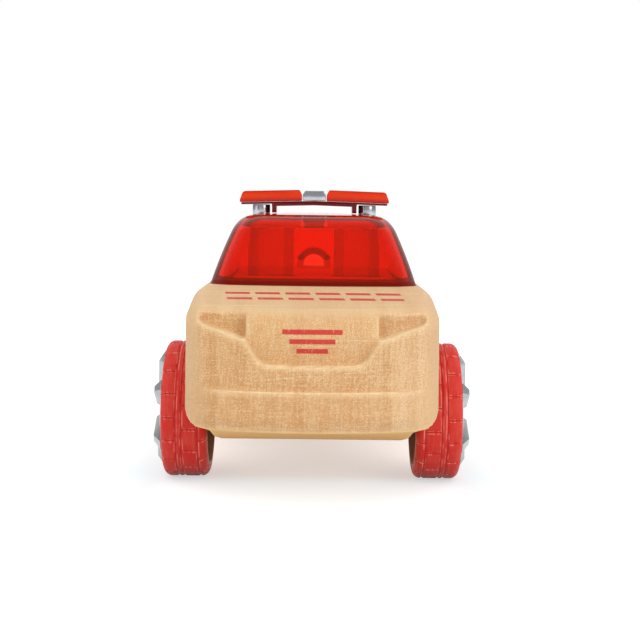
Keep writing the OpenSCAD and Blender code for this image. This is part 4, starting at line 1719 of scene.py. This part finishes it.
@dataclass
class Wheels:
    """Four spoked rims with treaded tyres, drawn on Z with z = 0 at the tyre's inner face."""

    wheel_x: float = 20.1
    axle_z: float = 13.4
    tyre_r: float = 13.4
    tyre_w: float = 9.0
    tyre_sharp_over: float = 60.0
    seat_r: float = 10.7
    shoulder_r: float = 1.55
    shoulder_steps: int = 10
    shoulder_fade: float = 0.5
    inner_z: float = 0.05
    bead: float = 0.05
    bead_chamfer: float = 0.07
    bead_slope: Pair = (0.1, 0.5)
    rim_lip: float = 0.5
    lip_w: float = 0.5
    groove_d: float = 0.26
    groove_w: float = 0.36
    groove_soft: float = 0.24
    groove_at: tuple[float, ...] = (0.2, 0.55, 0.67)
    groove_marks: tuple[float, ...] = (0.0, 0.08, 0.18, 0.26, 0.34, 0.5)
    block_mark: float = 0.8
    fill_step: float = 0.42
    fill_gap: float = 0.2
    tread_blocks: int = 18
    tread_weld: float = 0.004
    spoke_count: int = 6
    spoke_proud: float = 1.65
    spoke_sink: float = 1.0
    spoke_foot_half: float = 1.9
    spoke_top_half: float = 0.7
    spoke_round: float = 0.22
    spoke_round_steps: int = 3
    axle_bore: float = 1.53
    hub_r: float = 3.4
    hub_in: float = -0.2
    hub_end: float = 6.8
    web_t: float = 1.6
    barrel_t: float = 1.0
    flare_l: float = 1.8
    lip_edge: float = 0.45
    lip_slope: float = 0.4
    lip_proud: float = 0.1
    face_proud: float = 0.3
    dish_w: float = 2.0
    dish_rise: float = 0.9
    rim_round: float = 0.2
    rim_turns: int = 96
    rim_sharp_over: float = 40.0
    rows: dict[str, float] = field(default_factory=lambda: {"inner": 0.5, "middle": 0.0, "outer": 0.5})

    @property
    def block_l(self) -> float:
        """Length of one tread block round the tyre, in mm."""
        return math.tau * self.tyre_r / self.tread_blocks

    def tyre_outline(self) -> list[Pair]:
        """The tyre's section as (radius, height), closely spaced across the grooves.

        Returns:
            The points of the closed section, in mm.
        """
        lip = self.seat_r + self.rim_lip + self.bead
        seat = self.seat_r + self.bead
        s, r, w, z0 = self.shoulder_r, self.tyre_r, self.tyre_w, self.inner_z
        heights = {s + z0, w - s}
        for share in self.groove_at:
            for off in self.groove_marks:
                heights.update((round(share * w - off, 4), round(share * w + off, 4)))
        filler = np.arange(s + z0, w - s, self.fill_step)
        for h in filler:
            if min(abs(h - o) for o in heights) > self.fill_gap:
                heights.add(round(float(h), 4))
        tread = [(r, h) for h in sorted(heights) if s + z0 <= h <= w - s]
        arc = [math.radians(90 * i / self.shoulder_steps) for i in range(self.shoulder_steps + 1)]
        inner = [(r - s + s * math.sin(a), z0 + s - s * math.cos(a)) for a in arc]
        outer = [(r - s + s * math.cos(a), w - s + s * math.sin(a)) for a in arc]
        near, far = self.bead_slope
        chamfer = self.bead_chamfer
        return [
            (seat, w - self.lip_w - far),
            (seat, self.lip_w + far),
            (lip, self.lip_w + near),
            (lip, z0 + chamfer),
            (lip + chamfer, z0),
            *inner[:-1],
            *tread,
            *outer[1:],
            (lip + chamfer, w),
            (lip, w - chamfer),
            (lip, w - self.lip_w - near),
        ]

    def groove_depth(self, radius: float, height: float, along: float) -> float:
        """How deep the tread is cut, from 0 to 1.

        Args:
            radius: Radius of the point on the plain tyre.
            height: Its height across the tyre.
            along: Its share of one block's length round the tyre.

        Returns:
            The depth as a share of the full groove.
        """
        reach = self.tyre_r - self.shoulder_r
        if radius < reach:
            return 0.0
        half, soft = self.groove_w / 2, self.groove_soft

        def cut(distance: float) -> float:
            """Soft-edged groove at a distance from its middle."""
            t = min(1.0, max(0.0, (half + soft - distance) / (2 * soft)))
            return t * t * (3 - 2 * t)

        lengths = [share * self.tyre_w for share in self.groove_at]
        depth = max(cut(abs(height - place)) for place in lengths)
        row = None
        if height < lengths[0]:
            row = "inner"
        elif height < lengths[1]:
            row = "middle"
        elif height > lengths[2]:
            row = "outer"
        if row:
            off = abs((along - self.rows[row] + 0.5) % 1.0 - 0.5) * self.block_l
            depth = max(depth, cut(off))
        return depth * min(1.0, (radius - reach) / self.shoulder_fade)

    def tyre_mesh(self, ring: RingOfCopies, finish: Material) -> Mesh:
        """A treaded tyre: one block's length of it, repeated round the axle.

        Args:
            ring: The tree that repeats it.
            finish: Its material.

        Returns:
            The tyre in its own axes, in metres.
        """
        outline = self.tyre_outline()
        steps = {0.0, 1.0}
        for middle in (0.0, 0.5, 1.0):
            for off in (*self.groove_marks, self.block_mark):
                for place in (middle - off / self.block_l, middle + off / self.block_l):
                    if 0 <= place <= 1:
                        steps.add(round(place, 5))
        made = bmesh.new()
        layer = made.verts.layers.float.new("groove")
        pitch = math.tau / self.tread_blocks
        columns = []
        for along in sorted(steps):
            angle = along * pitch
            column = []
            for k, (radius, height) in enumerate(outline):
                depth = self.groove_depth(radius, height, along)
                before, after = Vector(outline[k - 1]), Vector(outline[(k + 1) % len(outline)])
                way = (after - before).normalized()
                r = radius - way.y * depth * self.groove_d
                h = height + way.x * depth * self.groove_d
                vert = made.verts.new((r * math.cos(angle), r * math.sin(angle), h))
                vert[layer] = depth
                column.append(vert)
            columns.append(column)
        bridge(made, columns)
        tread = ring.repeat(to_mesh(made, "tread"), self.tread_blocks, self.tread_weld * MM, finish)
        return smooth(tread, self.tyre_sharp_over)

    def rim_outline(self) -> list[Pair]:
        """The rim's section as (radius, height).

        Returns:
            The points of the closed section, in mm.
        """
        seat, lip, w = self.seat_r, self.seat_r + self.rim_lip, self.tyre_w
        web_in = self.hub_end - self.web_t
        barrel = seat - self.barrel_t
        corners = [
            (self.axle_bore, self.hub_in),
            (self.hub_r, self.hub_in),
            (self.hub_r, web_in),
            (barrel, web_in + self.dish_rise),
            (barrel, self.flare_l),
            (lip - self.lip_edge, 0.0),
            (lip, 0.0),
            (lip, self.lip_w),
            (seat, self.lip_w + self.lip_slope),
            (seat, w - self.lip_w - self.lip_slope),
            (lip, w - self.lip_w),
            (lip, w + self.lip_proud),
            (seat - self.rim_lip, w + self.face_proud),
            (seat - self.dish_w, self.hub_end + self.dish_rise),
            (self.hub_r, self.hub_end),
            (self.axle_bore, self.hub_end),
        ]
        return filleted(corners, self.rim_round)

    def spoke_mesh(self) -> Mesh:
        """One spoke along X: rising from the hub, level, then falling to the rim's lip.

        Returns:
            The spoke, in metres.
        """
        top, foot = self.tyre_w + self.spoke_proud, self.hub_end - self.spoke_sink
        # radius, lower edge and upper edge of each section
        sections = (
            (2.5, 6.2, top - 1.6),
            (3.7, 6.2, top),
            (8.9, 7.0, top),
            (9.5, 7.6, top),
            (10.7, 8.7, 9.85),
            (11.6, 9.05, 9.25),
        )

        def half(z: float) -> float:
            """Half width of the spoke at a height."""
            widening = (self.spoke_top_half - self.spoke_foot_half) * (z - foot) / (top - foot)
            return self.spoke_foot_half + widening

        made = bmesh.new()
        rows = []
        for r, low, high in sections:
            corners = ((half(low), low), (half(high), high), (-half(high), high), (-half(low), low))
            rows.append([made.verts.new((r, y, z)) for y, z in corners])
        bridge(made, rows)
        made.faces.new(rows[0])
        made.faces.new(rows[-1][::-1])
        bmesh.ops.recalc_face_normals(made, faces=made.faces)
        return bevelled(to_mesh(made, "spoke"), self.spoke_round, self.spoke_round_steps)

    def rim_mesh(self, ring: RingOfCopies, finish: Material) -> Mesh:
        """The rim with its spokes, in its own axes.

        Args:
            ring: The tree that repeats the spokes.
            finish: Its material.

        Returns:
            The rim, in metres.
        """
        made = lathe(self.rim_outline(), self.rim_turns)
        made.transform(Matrix.Diagonal((MM, MM, MM, 1)))
        made.from_mesh(ring.repeat(self.spoke_mesh(), self.spoke_count, 0.0, finish))
        return smooth(to_mesh(made, "rim", 1.0), self.rim_sharp_over)

    def placed(self, mesh: Mesh, corner: Corner) -> Mesh:
        """A copy of a wheel piece at one corner of the car.

        Args:
            mesh: The piece in its own axes.
            corner: Where it goes.

        Returns:
            The copy in the car's axes.
        """
        made = mesh.copy()
        turn = Matrix.Rotation(math.pi / 2, 4, "Y")
        shift = Matrix.Translation((self.wheel_x * MM, corner.axle_y * MM, self.axle_z * MM))
        made.transform(Matrix.Diagonal((corner.side, 1, 1, 1)) @ shift @ turn)
        if corner.side < 0:
            made.flip_normals()
        return made

    def build(self, soft_red: Material, plated: Material, steel: Material) -> None:
        """Makes the tyres and rims and dresses the axles.

        Args:
            soft_red: Finish of the tyres.
            plated: Finish of the rims.
            steel: Finish of the axles.
        """
        ring = RingOfCopies()
        tyre, rim = self.tyre_mesh(ring, soft_red), self.rim_mesh(ring, plated)
        for corner in Corner:
            label, body = corner.label, f"wheel_{corner.label}"
            piece(f"tread_{label}", self.placed(tyre, corner), soft_red, body, "soft_red", f"tyre_{label}")
            piece(f"spokes_{label}", self.placed(rim, corner), plated, body, "plated", f"rim_{label}")
            dress(f"axle_{label}", steel)


@dataclass
class Stage:
    """Floor, light and camera; places on the floor are in mm."""

    camera_place: tuple[float, float, float] = (0.37, -292.0, 54.4)
    camera_roll: float = 0.65
    camera_shift_px: float = 4.04
    focal_px: float = 1317.0
    image_px: int = 640
    horizon_px: float = 205.0
    sensor: float = 36.0
    nearest: float = 0.01
    world_light: float = 0.9
    ceiling: float = 0.25
    ceiling_from: Pair = (0.60, 0.93)
    room: float = 0.45
    room_from: Pair = (-0.2, -0.9)
    sides: float = 0.35
    sides_from: Pair = (0.35, 0.75)
    lamp_aim: tuple[float, float, float] = (0.0, 0.0, 0.025)
    floor_half: float = 4.0
    floor_lift: float = 0.63
    # warm glow under the car: painted bounce from the wood
    glow_under: Colour = (0.865, 0.826, 0.805)
    glow_open: Colour = (0.85, 0.95, 1.0)
    floor_colour: Colour = (0.62, 0.615, 0.61)
    floor_cloud: Grain = Grain((60, 60, 60), 2.0, 1.0)
    bounce: Colour = (0.74, 0.73, 0.72)
    # bounce colour where the tyres stand: painted contact shadow
    painted_contact_shadow: Colour = (0.16, 0.155, 0.15)
    contact_along: Pair = (9.0, 6.0)
    contact_across: Pair = (6.0, 4.0)
    open_front: Pair = (-25.0, -36.0)
    open_behind: Pair = (56.0, 70.0)
    beside_from: Pair = (26.0, 32.0)
    beside_until: Pair = (44.0, 33.0)
    beside_front: Pair = (-62.0, -42.0)
    beside_shade: float = 0.2
    wheel_x: float = 24.6

    def floor_glow(self, shader: Shader) -> Socket:
        """The floor's own light: a painted warm bounce under the car, cooler round it, and a painted shadow
        beside its wheels.

        Args:
            shader: The shader to add to.

        Returns:
            The colour.
        """
        x, y, _ = shader.spot
        beside = abs(x).step(*self.beside_from)
        apart = y.step(*self.open_front).larger(y.step(*self.open_behind)).larger(beside)
        colour = shader.mix(self.glow_under, self.glow_open, apart)
        # painted shadow beside the wheels
        near = beside * abs(x).step(*self.beside_until) * y.step(*self.beside_front)
        return shader.shade(colour, 1 - near * self.beside_shade)

    def floor_bounce(self, shader: Shader) -> Socket:
        """The floor's colour as a source of bounced light, with a painted contact shadow where the tyres
        stand.

        Args:
            shader: The shader to add to.

        Returns:
            The colour.
        """
        x, y, _ = shader.spot
        front, rear = Corner.FRONT_LEFT.axle_y, Corner.REAR_LEFT.axle_y
        painted_contact_mask = y.within(front, *self.contact_along).larger(y.within(rear, *self.contact_along))
        painted_contact_mask = painted_contact_mask * abs(x).within(self.wheel_x, *self.contact_across)
        return shader.mix(self.bounce, self.painted_contact_shadow, painted_contact_mask)

    def floor(self) -> None:
        """A wide pale floor that keeps the shadow and is white to the camera elsewhere."""
        made = bmesh.new()
        bmesh.ops.create_grid(made, x_segments=1, y_segments=1, size=self.floor_half)
        mesh = to_mesh(made, "floor", 1.0)
        shader = Shader("floor")
        pale = shader.shade(self.floor_colour, shader.noise(self.floor_cloud) * 0.02 + 0.99)
        matt = shader.node("ShaderNodeBsdfDiffuse", None, {"Color": pale})
        lift = {"Color": self.floor_glow(shader), "Strength": self.floor_lift}
        glow = shader.node("ShaderNodeEmission", None, lift)
        both = shader.node("ShaderNodeAddShader", None, {0: matt.outputs[0], 1: glow.outputs[0]})
        plain = shader.node("ShaderNodeBsdfDiffuse", None, {"Color": self.floor_bounce(shader)})
        shader.show(shader.blend(plain, both, shader.rays("Camera", "Glossy", "Transmission")))
        mesh.materials.append(shader.owner)
        floor = bpy.data.objects.new("floor", mesh)
        bpy.context.scene.collection.objects.link(floor)

    def world(self) -> None:
        """White to the camera and through glass, darker above and around in mirrors, softer as light."""
        shader = Shader("studio", of_world=True)
        bpy.context.scene.world = shader.owner
        seen, mirrored = shader.rays("Camera", "Transmission"), shader.rays("Glossy")
        across, along, up = shader.parts(shader.node("ShaderNodeTexCoord").outputs["Object"])
        studio = 1 - up.step(*self.ceiling_from) * (1 - self.ceiling)
        studio = studio * (1 - along.step(*self.room_from) * (1 - self.room))
        studio = studio * (1 - abs(across).step(*self.sides_from) * (1 - self.sides))
        unseen = studio * mirrored + (1 - mirrored) * self.world_light
        light = {"Color": (1.0, 1.0, 1.0, 1.0), "Strength": seen + (1 - seen) * unseen}
        shader.show(shader.node("ShaderNodeBackground", None, light))

    def lamp(self, name: str, place: Sequence[float], size: float, watts: float) -> None:
        """Adds a square soft box that points at the car.

        Args:
            name: Its name.
            place: Where it hangs, in metres.
            size: Its width, in metres.
            watts: Its power.
        """
        light = bpy.data.lights.new(name, "AREA")
        light.size = size
        light.energy = watts
        made = bpy.data.objects.new(name, light)
        made.location = place
        made.rotation_mode = "QUATERNION"
        made.rotation_quaternion = (Vector(self.lamp_aim) - Vector(place)).to_track_quat("-Z", "Y")
        bpy.context.scene.collection.objects.link(made)

    def camera(self) -> None:
        """The camera of the photograph: level, close to the nose, with its frame shifted down."""
        data = bpy.data.cameras.new("camera")
        data.sensor_width = self.sensor
        data.lens = self.focal_px / self.image_px * self.sensor
        data.shift_x = self.camera_shift_px / self.image_px
        data.shift_y = -(self.image_px / 2 - self.horizon_px) / self.image_px
        data.clip_start = self.nearest
        made = bpy.data.objects.new("camera", data)
        roll = Matrix.Rotation(math.radians(self.camera_roll), 4, "Z")
        turn = Matrix.Rotation(math.pi / 2, 4, "X") @ roll
        made.matrix_world = Matrix.Translation(Vector(self.camera_place) * MM) @ turn
        bpy.context.scene.collection.objects.link(made)
        bpy.context.scene.camera = made

    def build(self) -> None:
        """Sets the whole stage."""
        self.floor()
        self.world()
        self.lamp("top_box", (-0.1, -0.35, 0.9), 0.7, 1.0)
        self.lamp("front_box", (0.75, -0.7, 0.4), 0.6, 2.85)
        self.lamp("left_box", (-0.85, -0.35, 0.3), 0.6, 0.9)
        self.camera()
        bpy.context.scene.view_settings.view_transform = "Standard"


def main() -> None:
    """Builds the car piece by piece, then its stage."""
    logging.basicConfig(level=logging.INFO, format="%(name)s %(message)s")
    plated = PlatedFinish().material()
    nylon = PlainFinish("nylon", (0.72, 0.69, 0.6), 0.0, 0.45)
    BodyBlock().build(BeechFinish().material(), nylon.material())
    Cabin().build(ClearRedFinish().material())
    lens = LensFinish("lens", (0.67, 0.030, 0.006), (0.44, 0.014, 0.005), 0.14, 0.15)
    bracket = GlossFinish("red_plastic", (0.17, 0.008, 0.008), (0.10, 0.005, 0.005), 0.18)
    LightBar().build(lens.material(), plated, bracket.material())
    bright, dull = (0.50, 0.505, 0.515), (0.41, 0.415, 0.425)
    wheel_plating = PlatedFinish("wheel_plating", bright, dull, 0.75, painted_reflection_within=26.0)
    steel = PlainFinish("steel", (0.6, 0.6, 0.6), 1.0, 0.25)
    Wheels().build(SoftRedFinish().material(), wheel_plating.material(), steel.material())
    Stage().build()


if __name__ == "__main__":
    main()
